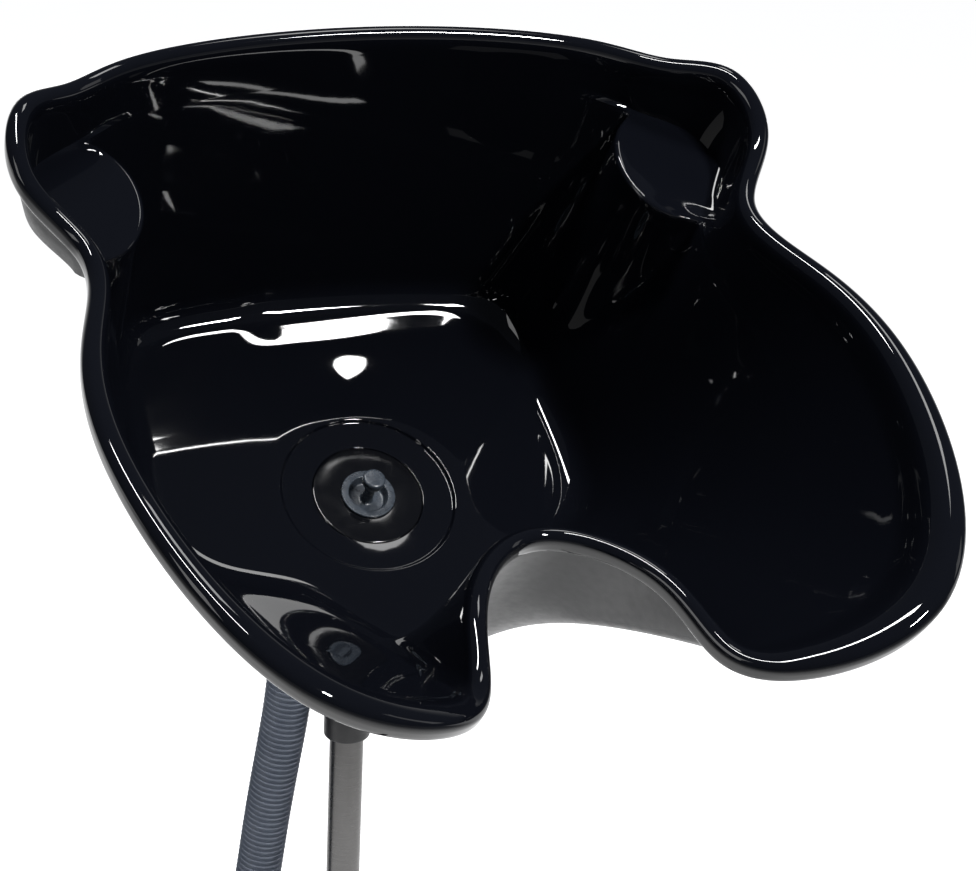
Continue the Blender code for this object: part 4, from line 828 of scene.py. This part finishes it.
STEM_R = 0.0218
STEM_BORE_R = 0.0162
STEM_LENGTH = 0.0300
SEAT_R = 0.0178
SEAT_DEPTH = 0.0080
GASKET_R = 0.0330
GASKET_THICK = 0.0025
LOCKNUT_R = 0.0300
LOCKNUT_THICK = 0.0080
LOCKNUT_LUGS = 8
LUG_share = 0.06
LUG_STEEP = 3.0
PLUG_R = 0.0170
PLUG_FOOT_R = 0.0145
PLUG_DEPTH = 0.0070
PLUG_LIP_R = 0.0184
PLUG_LIP = 0.0014
PLUG_CUP_R = 0.0132
PLUG_CUP_FLOOR = 0.0022
PLUG_STEM_R = 0.0036
PLUG_KNOB_R = 0.0075
PLUG_KNOB_THICK = 0.0062
PLUG_HEIGHT = 0.0200
PLUG_LIP_DRAFT = 0.0003
PLUG_CUP_DRAFT = 0.0012
PLUG_STEM_DRAFT = 0.0004
NEAR_AXIS = 0.0008


def turned(name, body, finish, profile, edge, stands_for, centre, axis=Z_WAY, hollow=True,
           sides=72, lobe=None):
    """A turned piece whose profile's corners are rounded by edge."""
    shape = revolve(rounded(profile, edge, 4, hollow), centre, axis, sides, hollow, lobe)
    make_piece(name, body, finish, shape, stands_for)


def drain_pieces():
    """Flange with the plug's cone seat, gasket, lugged locknut, and the soft plug with its knob."""
    top = -DISH_DEPTH
    low = top - FLANGE_THICK + GAP
    turned("drain_flange_turned", "bowl", "fitting", [
        (SEAT_R, top), (FLANGE_R, top), (FLANGE_R, low), (STEM_R, low), (STEM_R, top - STEM_LENGTH),
        (STEM_BORE_R, top - STEM_LENGTH), (STEM_BORE_R, top - SEAT_DEPTH),
    ], (0.0010, 0.0012, 0.0002, 0.0003, 0.0006, 0.0004, 0.0005), ("drain_flange",), DRAIN, BOWL_UP,
        sides=128)
    under = -DISH_DEPTH - FLANGE_THICK - SHELL - GAP
    turned("drain_gasket_turned", "bowl", "rubber", [
        (STEM_R + GAP, under), (GASKET_R, under), (GASKET_R, under - GASKET_THICK),
        (STEM_R + GAP, under - GASKET_THICK),
    ], 0.0006, ("drain_gasket",), DRAIN, BOWL_UP)
    under -= GASKET_THICK + GAP

    def lugs(angle, profile):
        share = np.where(profile[:, :1] > (LOCKNUT_R + STEM_R) / 2.0, LUG_share, 0.0)
        return 1.0 + share * np.tanh(LUG_STEEP * np.cos(LOCKNUT_LUGS * angle)) / math.tanh(LUG_STEEP)

    turned("drain_locknut_lugged", "bowl", "satin", [
        (STEM_R + GAP, under), (LOCKNUT_R, under), (LOCKNUT_R, under - LOCKNUT_THICK),
        (STEM_R + GAP, under - LOCKNUT_THICK),
    ], 0.0010, ("drain_locknut",), DRAIN, BOWL_UP, sides=160, lobe=lugs)
    top += GAP
    foot, crown = top - PLUG_DEPTH, top + PLUG_HEIGHT
    knob, cup = crown - PLUG_KNOB_THICK, foot + PLUG_CUP_FLOOR
    turned("drain_plug_moulded", "plug", "plug", [
        (NEAR_AXIS, foot), (PLUG_FOOT_R, foot), (PLUG_R, top), (PLUG_LIP_R, top),
        (PLUG_LIP_R - PLUG_LIP_DRAFT, top + PLUG_LIP), (PLUG_CUP_R, top + PLUG_LIP),
        (PLUG_CUP_R - PLUG_CUP_DRAFT, cup), (PLUG_STEM_R + PLUG_STEM_DRAFT, cup),
        (PLUG_STEM_R - PLUG_STEM_DRAFT, knob), (PLUG_KNOB_R, knob), (PLUG_KNOB_R, crown), (NEAR_AXIS, crown),
    ], (0.0, 0.0009, 0.0003, 0.0005, 0.0005, 0.0007, 0.0016, 0.0014, 0.0008, 0.0016, 0.0018, 0.0),
        ("drain_plug",), DRAIN, BOWL_UP, False, 96)


# ---------------- mast and knobs

MAST_R = 0.0120
MAST_WALL = 0.0015
MAST_FOOT = 0.2000
COLLAR_LOW = 0.6845
COLLAR_HIGH = 0.7405
COLLAR_R = 0.0163
COLLAR_CAP = 0.0060
ARM_PEG_R = 0.0101
CLAMP_MIDDLE = 0.4770
CLAMP_BOSS_REACH = 0.0280
SCREW_R = 0.0040
BOLT_R = 0.0050
BOLT_END = 0.0100
BOLT_HEAD = 0.0055
BOLT_HEAD_R = 0.0090
KNOB_R = 0.0195
KNOB_LOBES = 6
LOBE_share = 0.07
LOBE_FADE = 0.0030
KNOB_THICK = 0.0110
KNOB_NECK_R = 0.0085
KNOB_NECK = 0.0040
KNOB_DISH_R = 0.0120
KNOB_DISH = 0.0010
OUTSIDE_WASHER = 0.0209


def knob_lobes(angle, profile):
    """Six soft lobes round a knob's grip and none on its neck or screw."""
    share = LOBE_share * np.clip((profile[:, :1] - KNOB_DISH_R) / LOBE_FADE, 0.0, 1.0)
    return 1.0 + share * np.cos(KNOB_LOBES * angle)


def knob_profile(start):
    """A lobed knob's neck and grip from its underside outwards, its face slightly dished."""
    grip, face = start + KNOB_NECK, start + KNOB_NECK + KNOB_THICK
    points = [
        (KNOB_NECK_R, start), (KNOB_NECK_R, grip), (KNOB_R, grip), (KNOB_R, face), (KNOB_DISH_R, face),
        (KNOB_DISH_R - KNOB_DISH, face - KNOB_DISH), (NEAR_AXIS, face - KNOB_DISH),
    ]
    return points, [0.0008, 0.0008, 0.0028, 0.0032, 0.0008, 0.0008, 0.0]


def mast_pieces():
    """The sliding mast, its collar, and the two lobed knobs."""
    high = COLLAR_HIGH - COLLAR_CAP - GAP
    turned("mast_tube_drawn", "mast", "steel", [
        (MAST_R, MAST_FOOT), (MAST_R, high), (MAST_R - MAST_WALL, high), (MAST_R - MAST_WALL, MAST_FOOT),
    ], 0.0003, ("mast_tube",), MAST, sides=96)
    turned("mast_collar_turned", "mast", "satin", [
        (MAST_R + GAP, COLLAR_LOW), (COLLAR_R, COLLAR_LOW), (COLLAR_R, COLLAR_HIGH),
        (ARM_PEG_R + GAP, COLLAR_HIGH), (ARM_PEG_R + GAP, COLLAR_HIGH - COLLAR_CAP),
        (MAST_R + GAP, COLLAR_HIGH - COLLAR_CAP),
    ], (0.0005, 0.0016, 0.0012, 0.0004, 0.0002, 0.0002), ("mast_collar",), MAST, sides=96)
    start = CLAMP_BOSS_REACH + GAP
    grip, edge = knob_profile(start)
    turned("height_knob_lobed", "height_knob", "satin",
           [(NEAR_AXIS, MAST_R + GAP), (SCREW_R, MAST_R + GAP), (SCREW_R, start)] + grip,
           [0.0, 0.0006, 0.0002] + edge, ("height_knob",), MAST + Z_WAY * CLAMP_MIDDLE, X_WAY, False, 144,
           knob_lobes)
    grip, edge = knob_profile(0.0)
    bore = BOLT_R + GAP
    turned("tilt_knob_lobed", "tilt_knob", "satin",
           [(NEAR_AXIS, BOLT_END + GAP), (bore, BOLT_END + GAP), (bore, 0.0)] + grip,
           [0.0, 0.0003, 0.0004] + edge, ("tilt_knob",), PIVOT + X_WAY * OUTSIDE_WASHER, X_WAY, False, 144,
           knob_lobes)
    head = -OUTSIDE_WASHER
    turned("pivot_bolt_domed", "bowl", "zinc", [
        (NEAR_AXIS, head - BOLT_HEAD), (BOLT_HEAD_R, head - BOLT_HEAD), (BOLT_HEAD_R, head), (BOLT_R, head),
        (BOLT_R, OUTSIDE_WASHER + BOLT_END), (NEAR_AXIS, OUTSIDE_WASHER + BOLT_END),
    ], (0.0, 0.0040, 0.0005, 0.0003, 0.0006, 0.0), ("pivot_bolt",), PIVOT, X_WAY, False)


# ---------------- tilt arm and bracket

ARM_HALF_WIDTH = 0.0120
ARM_HALF_DEPTH = 0.0085
ARM_SQUARE = 5.0
ARM_FOOT = 0.0080
ARM_PEG = 0.0450
ARM_RISE = 0.0300
ARM_SWEEP_BACK = 0.0500
ARM_SWEEP_DROP = 0.0700
KNUCKLE_R = 0.0140
KNUCKLE_HALF = 0.0150
BAR_STOP_share = 0.7
BAR_RINGS = 41
BAR_SIDES = 48
PAD_HALF = (0.0430, 0.0370)
PLATE_HALF = (0.0400, 0.0340)
PAD_THICK = 0.0100
PLATE_THICK = 0.0035
PIVOT_BEHIND = 0.0850
PIVOT_BELOW = 0.0550
EAR_R = 0.0165
EAR_TOP_HALF = 0.0260
EAR_THICK = 0.0035


def arm_piece():
    """The tilt arm: a peg and flange on the collar, a bar along a cubic Bezier curve, and a knuckle.

    The bar's section is |x / a| ** n + |d / b| ** n = 1, a softened rectangle. The bar stops inside the
    knuckle, BAR_STOP_share of its radius from the tilt axis, so that the bore stays open.
    """
    seat = COLLAR_HIGH + GAP
    foot = rounded([
        (NEAR_AXIS, seat - ARM_PEG), (ARM_PEG_R, seat - ARM_PEG), (ARM_PEG_R, seat), (COLLAR_R, seat),
        (COLLAR_R, seat + ARM_FOOT), (NEAR_AXIS, seat + ARM_FOOT),
    ], (0.0, 0.0008, 0.0003, 0.0006, 0.0020, 0.0), 4)
    reach, height = PIVOT[1] - MAST[1], PIVOT[2]
    there = np.linspace(0.0, 1.0, BAR_RINGS)[:, None]
    spine = cubic(np.array([0.0, seat + ARM_FOOT / 2.0]), np.array([0.0, seat + ARM_RISE]),
                  np.array([ARM_SWEEP_BACK, height - ARM_SWEEP_DROP]), np.array([reach, height]), there)
    way = units(np.gradient(spine, axis=0))
    line = np.column_stack([np.zeros(len(spine)), spine]) + MAST
    aside = np.column_stack([np.zeros(len(spine)), -way[:, 1], way[:, 0]])
    angle = np.linspace(0.0, 2.0 * math.pi, BAR_SIDES, endpoint=False)
    wide = np.sign(np.cos(angle)) * np.abs(np.cos(angle)) ** (2.0 / ARM_SQUARE) * ARM_HALF_WIDTH
    deep = np.sign(np.sin(angle)) * np.abs(np.sin(angle)) ** (2.0 / ARM_SQUARE) * ARM_HALF_DEPTH
    bar = line[:, None] + wide[None, :, None] * X_WAY + deep[None, :, None] * aside[:, None]
    clear = np.linalg.norm(spine - spine[-1], axis=1) > KNUCKLE_R * BAR_STOP_share
    bore = BOLT_R + GAP
    knuckle = rounded([
        (bore, -KNUCKLE_HALF), (KNUCKLE_R, -KNUCKLE_HALF), (KNUCKLE_R, KNUCKLE_HALF), (bore, KNUCKLE_HALF),
    ], (0.0006, 0.0014, 0.0014, 0.0006), 4, True)
    shape = joined(revolve(foot, MAST, Z_WAY, 72), skin(bar[clear]), revolve(knuckle, PIVOT, X_WAY, 72, True))
    make_piece("tilt_arm_bent", "head", "painted", shape, ("tilt_arm",), 35.0)


def rectangle(half, middle, radius):
    """A rectangle's outline with rounded corners, its middle moved along its second way."""
    x, y = half
    corners = [(-x, middle - y), (x, middle - y), (x, middle + y), (-x, middle + y)]
    return rounded(corners, radius, 6, True)


def bracket_pieces():
    """The pad under the bowl's floor, and the bracket: a plate with two ears down to the tilt axis."""
    pad_top = -SHELL - GAP
    make_piece("mount_pad_moulded", "bowl", "satin", slab(
        rectangle(PAD_HALF, PIVOT_BEHIND, 0.007), rounded_rows(pad_top - PAD_THICK, pad_top, 0.0016),
        DRAIN, BOWL_WAYS), ("mount_pad",))
    top = pad_top - PAD_THICK - GAP
    low = top - PLATE_THICK
    plate = slab(rectangle(PLATE_HALF, PIVOT_BEHIND, 0.005), rounded_rows(low, top, 0.0007), DRAIN, BOWL_WAYS)
    angle = np.linspace(math.pi, 2.0 * math.pi, 33)
    arc = np.column_stack([np.cos(angle), np.sin(angle)]) * EAR_R
    crown = low + PLATE_THICK / 2.0 + PIVOT_BELOW
    outline = np.vstack([[(-EAR_TOP_HALF, crown)], arc, [(EAR_TOP_HALF, crown)]])
    inner = KNUCKLE_HALF + GAP
    ways = np.array([BOWL_WAYS[1], BOWL_WAYS[2], X_WAY])
    rows = rounded_rows(inner, inner + EAR_THICK, 0.0006)
    right = slab(outline, rows, PIVOT, ways)
    left = slab(outline, rows * (1.0, -1.0), PIVOT, ways)
    make_piece("tilt_bracket_folded", "bowl", "painted", joined(plate, right, left),
               ("tilt_bracket",), 35.0)


# ---------------- base

HUB_R = 0.0235
HUB_TOP = 0.1150
HUB_SOCKET_FLOOR = 0.0320
HUB_HOLE_R = 0.0063
OUTER_TUBE_R = 0.0150
PLATE_R = 0.0720
PLATE_DEPTH = 0.0060
LEG_REACH = 0.2900
LEG_WIDTH = 0.0380
LEG_END_WIDTH = 0.0280
LEG_HEIGHT = 0.0300
LEG_END_HEIGHT = 0.0180
LEG_BOTTOM = 0.0180
LEG_EDGE = 0.0035
LEG_MITRE = 0.0004
LEG_EDGE_STEPS = 6
HUG_ANGLE = 0.76
HUG_INSET_share = 0.3
HUG_NEAR = 0.0010
FOOT_INSET = 0.0200
FOOT_R = 0.0160
FOOT_TOP_R = 0.0130
FOOT_STUD_R = 0.0040
FOOT_STUD = 0.0100
FOOT_RIM = 0.0050


def leg_shape(across, along):
    """A tapered leg that hugs the hub, meets its neighbours on the diagonals and falls to its end.

    A point at the run x stands at LEG_BOTTOM + share * (H0 - k (x - x0)), less the edge's rounding.
    """
    reach = HUB_R + GAP
    half, end = LEG_WIDTH / 2.0, LEG_END_WIDTH / 2.0
    hug = np.linspace(HUG_ANGLE, -HUG_ANGLE, 21)
    tip = np.linspace(-math.pi / 2.0, math.pi / 2.0, 33)
    outline = np.vstack([
        np.column_stack([np.cos(hug), np.sin(hug)]) * reach,
        [(half + LEG_MITRE, -half + LEG_MITRE)],
        np.column_stack([LEG_REACH - end + end * np.cos(tip), end * np.sin(tip)]),
        [(half + LEG_MITRE, half - LEG_MITRE)],
    ])
    out = square_to(outline)
    hugging = (np.hypot(outline[:, 0], outline[:, 1]) < reach + HUG_NEAR)[:, None]
    out = np.where(hugging, outline / reach * HUG_INSET_share, out)
    fall = (LEG_HEIGHT - LEG_END_HEIGHT) / (LEG_REACH - reach)
    high = LEG_HEIGHT - fall * (outline[:, 0] - reach)
    rows = rounded_rows(0.0, 0.0, LEG_EDGE, LEG_EDGE_STEPS)
    share = np.repeat([0.0, 1.0], LEG_EDGE_STEPS + 1)[:, None]
    flat = outline[None] - rows[:, :1, None] * out[None]
    level = LEG_BOTTOM + share * high[None] + rows[:, 1:]
    place = flat[..., :1] * along + flat[..., 1:] * across + level[..., None] * Z_WAY
    return skin(place + MAST)


def base_pieces():
    """Hub, plate, four legs and four rubber feet, all round the mast's axis."""
    turned("base_hub_turned", "stand", "painted", [
        (HUB_HOLE_R, LEG_BOTTOM), (HUB_R, LEG_BOTTOM), (HUB_R, HUB_TOP), (OUTER_TUBE_R + GAP, HUB_TOP),
        (OUTER_TUBE_R + GAP, HUB_SOCKET_FLOOR), (HUB_HOLE_R, HUB_SOCKET_FLOOR),
    ], (0.0003, 0.0006, 0.0026, 0.0008, 0.0003, 0.0003), ("base_hub",), MAST, sides=96)
    top = LEG_BOTTOM - GAP
    turned("base_plate_turned", "stand", "painted", [
        (HUB_HOLE_R, top - PLATE_DEPTH), (PLATE_R, top - PLATE_DEPTH), (PLATE_R, top), (HUB_HOLE_R, top),
    ], (0.0003, 0.0014, 0.0018, 0.0003), ("base_plate",), MAST, sides=144)
    for index, side in enumerate(("right", "back", "left", "front")):
        angle = index * math.pi / 2.0
        along = np.array([math.cos(angle), math.sin(angle), 0.0])
        across = np.array([-math.sin(angle), math.cos(angle), 0.0])
        make_piece("leg_%s_pressed" % side, "stand", "painted", leg_shape(across, along),
                   ("leg_" + side,), 50.0)
        turned("foot_%s_moulded" % side, "stand", "rubber", [
            (NEAR_AXIS, 0.0), (FOOT_R, 0.0), (FOOT_R, FOOT_RIM), (FOOT_TOP_R, LEG_BOTTOM - GAP),
            (FOOT_STUD_R, LEG_BOTTOM - GAP), (FOOT_STUD_R, LEG_BOTTOM + FOOT_STUD),
            (NEAR_AXIS, LEG_BOTTOM + FOOT_STUD),
        ], (0.0, 0.0016, 0.0030, 0.0010, 0.0002, 0.0005, 0.0), ("foot_" + side,),
            MAST + along * (LEG_REACH - FOOT_INSET), Z_WAY, False)


# ---------------- studio


LAMP_AIM = (0.0, 0.04, 0.95)
# The way to the white backdrop, level, as the camera looks at it
BACKDROP_WAY = (0.358, 0.934, 0.0)
# The dark studio, and the part of a ray's way, upwards and ahead, over which it meets the backdrop
DARK = (0.045, 0.050, 0.062)
WHITE = (1.0, 1.0, 1.0)
BACKDROP_TOP_shares = (0.16, 0.50)
BACKDROP_SIDE_shares = (0.66, 0.84)
# The floor, and the distances over which the gloss sees its white fade, from the mast and ahead
GROUND_HALF = 30.0
GROUND_GREY = (0.80, 0.80, 0.80)
GROUND_ROUGH_share = 0.9
GROUND_WHITE_share = 0.94
GROUND_FAR_share = 0.12
GROUND_NEAR = (0.9, 2.4)
GROUND_AHEAD = (0.2, 1.4)
# The narrow bright lamp seen in the floor by way of the back wall, and the soft boxes round it:
# a name, a place, a size, a radiance and a roll in degrees
LAMPS = (
    ("key_lamp", (0.651, -1.558, 2.618), (0.40, 0.15), 260.0, 33.0),
    ("strip_over", (-0.12, -0.05, 2.90), (0.10, 1.10), 70.0, 90.0),
    ("softbox_over", (0.62, 0.27, 2.90), (0.40, 0.28), 6.5, 0.0),
    ("backdrop_light", (1.07, 2.84, 1.00), (2.00, 1.00), 3.0, 0.0),
    ("softbox_left", (-1.95, -0.60, 2.20), (0.50, 1.00), 2.5, 0.0),
    ("softbox_right", (2.05, -0.70, 2.00), (0.40, 1.00), 0.8, 0.0),
)


def worked_out(nodes, links, operation, first, second):
    """A Math node's result for two sockets."""
    node = nodes.new("ShaderNodeMath")
    node.operation = operation
    links.new(first, node.inputs[0])
    links.new(second, node.inputs[1])
    return node.outputs[0]


def towards_backdrop(nodes, links, place):
    """How far a place or a way reaches towards the backdrop."""
    node = nodes.new("ShaderNodeVectorMath")
    node.operation = "DOT_PRODUCT"
    node.inputs[1].default_value = BACKDROP_WAY
    links.new(place, node.inputs[0])
    return node.outputs["Value"]


def share_of_white(nodes, links, reflected):
    """All white to the camera, and the reflected share to glossy and see-through rays."""
    seen = nodes.new("ShaderNodeLightPath")
    glossy, through = seen.outputs["Is Glossy Ray"], seen.outputs["Is Transmission Ray"]
    shown = worked_out(nodes, links, "MAXIMUM", glossy, through)
    share = worked_out(nodes, links, "MULTIPLY", shown, reflected)
    return worked_out(nodes, links, "MAXIMUM", seen.outputs["Is Camera Ray"], share)


def backdrop():
    """A white background, which the gloss sees only behind the object and low down."""
    scene = bpy.context.scene
    scene.view_settings.view_transform = "Standard"
    world = bpy.data.worlds.new("studio")
    scene.world = world
    world.use_nodes = True
    nodes, links = world.node_tree.nodes, world.node_tree.links
    place = nodes.new("ShaderNodeTexCoord").outputs["Generated"]
    split = nodes.new("ShaderNodeSeparateXYZ")
    links.new(place, split.inputs["Vector"])
    height = mapped(nodes, links, split.outputs["Z"], 1.0, 0.0, BACKDROP_TOP_shares)
    ahead = mapped(nodes, links, towards_backdrop(nodes, links, place), 0.0, 1.0, BACKDROP_SIDE_shares)
    white = share_of_white(nodes, links, worked_out(nodes, links, "MULTIPLY", height, ahead))
    links.new(mixed(nodes, links, white, DARK, WHITE), nodes["Background"].inputs["Color"])


def ground():
    """A pale floor that is white to the camera."""
    corners = np.array([[-1.0, -1.0, 0.0], [1.0, -1.0, 0.0], [1.0, 1.0, 0.0], [-1.0, 1.0, 0.0]]) * GROUND_HALF
    mesh = bpy.data.meshes.new("studio_floor")
    mesh.from_pydata(corners.tolist(), [], [[0, 1, 2, 3]])
    floor = bpy.data.objects.new("studio_floor", mesh)
    bpy.context.scene.collection.objects.link(floor)
    material = bpy.data.materials.new("pale_floor")
    material.use_nodes = True
    nodes, links = material.node_tree.nodes, material.node_tree.links
    shader = given(nodes["Principled BSDF"], Base_Color=(*GROUND_GREY, 1.0), Roughness=GROUND_ROUGH_share,
                   Specular_IOR_Level=0.0, Emission_Color=(*WHITE, 1.0))
    place = nodes.new("ShaderNodeTexCoord").outputs["Object"]
    away = nodes.new("ShaderNodeVectorMath")
    away.operation = "LENGTH"
    links.new(place, away.inputs[0])
    near = mapped(nodes, links, away.outputs["Value"], 1.0, GROUND_FAR_share, GROUND_NEAR)
    ahead = mapped(nodes, links, towards_backdrop(nodes, links, place), 0.0, 1.0, GROUND_AHEAD)
    white = share_of_white(nodes, links, worked_out(nodes, links, "MAXIMUM", near, ahead))
    glow = nodes.new("ShaderNodeMath")
    glow.operation = "MULTIPLY"
    glow.inputs[1].default_value = GROUND_WHITE_share
    links.new(white, glow.inputs[0])
    links.new(glow.outputs[0], shader.inputs["Emission Strength"])
    mesh.materials.append(material)


def lamp(name, place, size, radiance, roll):
    """A softbox at a place, its face turned to LAMP_AIM and its width rolled from level."""
    data = bpy.data.lights.new(name, "AREA")
    data.shape = "RECTANGLE"
    data.size, data.size_y = size
    data.energy = radiance * math.pi * size[0] * size[1]
    light = bpy.data.objects.new(name, data)
    bpy.context.scene.collection.objects.link(light)
    back = unit(np.subtract(place, LAMP_AIM))
    level = unit(np.cross(Z_WAY, back))
    turn = math.radians(roll)
    right = level * math.cos(turn) + np.cross(back, level) * math.sin(turn)
    ways = np.eye(4)
    ways[:3, 0], ways[:3, 1], ways[:3, 2], ways[:3, 3] = right, np.cross(back, right), back, place
    light.matrix_world = Matrix(ways.tolist())


def dress_solids():
    """Gives the solids that stay in view the finish of their slot, or satin where it has none."""
    by_slot = {slot: name for name, slot in reversed(SLOTS.items())}
    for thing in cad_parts.values():
        for index, old in enumerate(list(thing.data.materials)):
            name = old.name.split(".")[0]
            thing.data.materials[index] = FINISHES[by_slot.get(name, "satin")]


photo_camera()
FINISHES = all_finishes()
hose_pieces()
bowl_piece()
drain_pieces()
mast_pieces()
arm_piece()
bracket_pieces()
base_pieces()
dress_solids()
backdrop()
ground()
for row in LAMPS:
    lamp(*row)
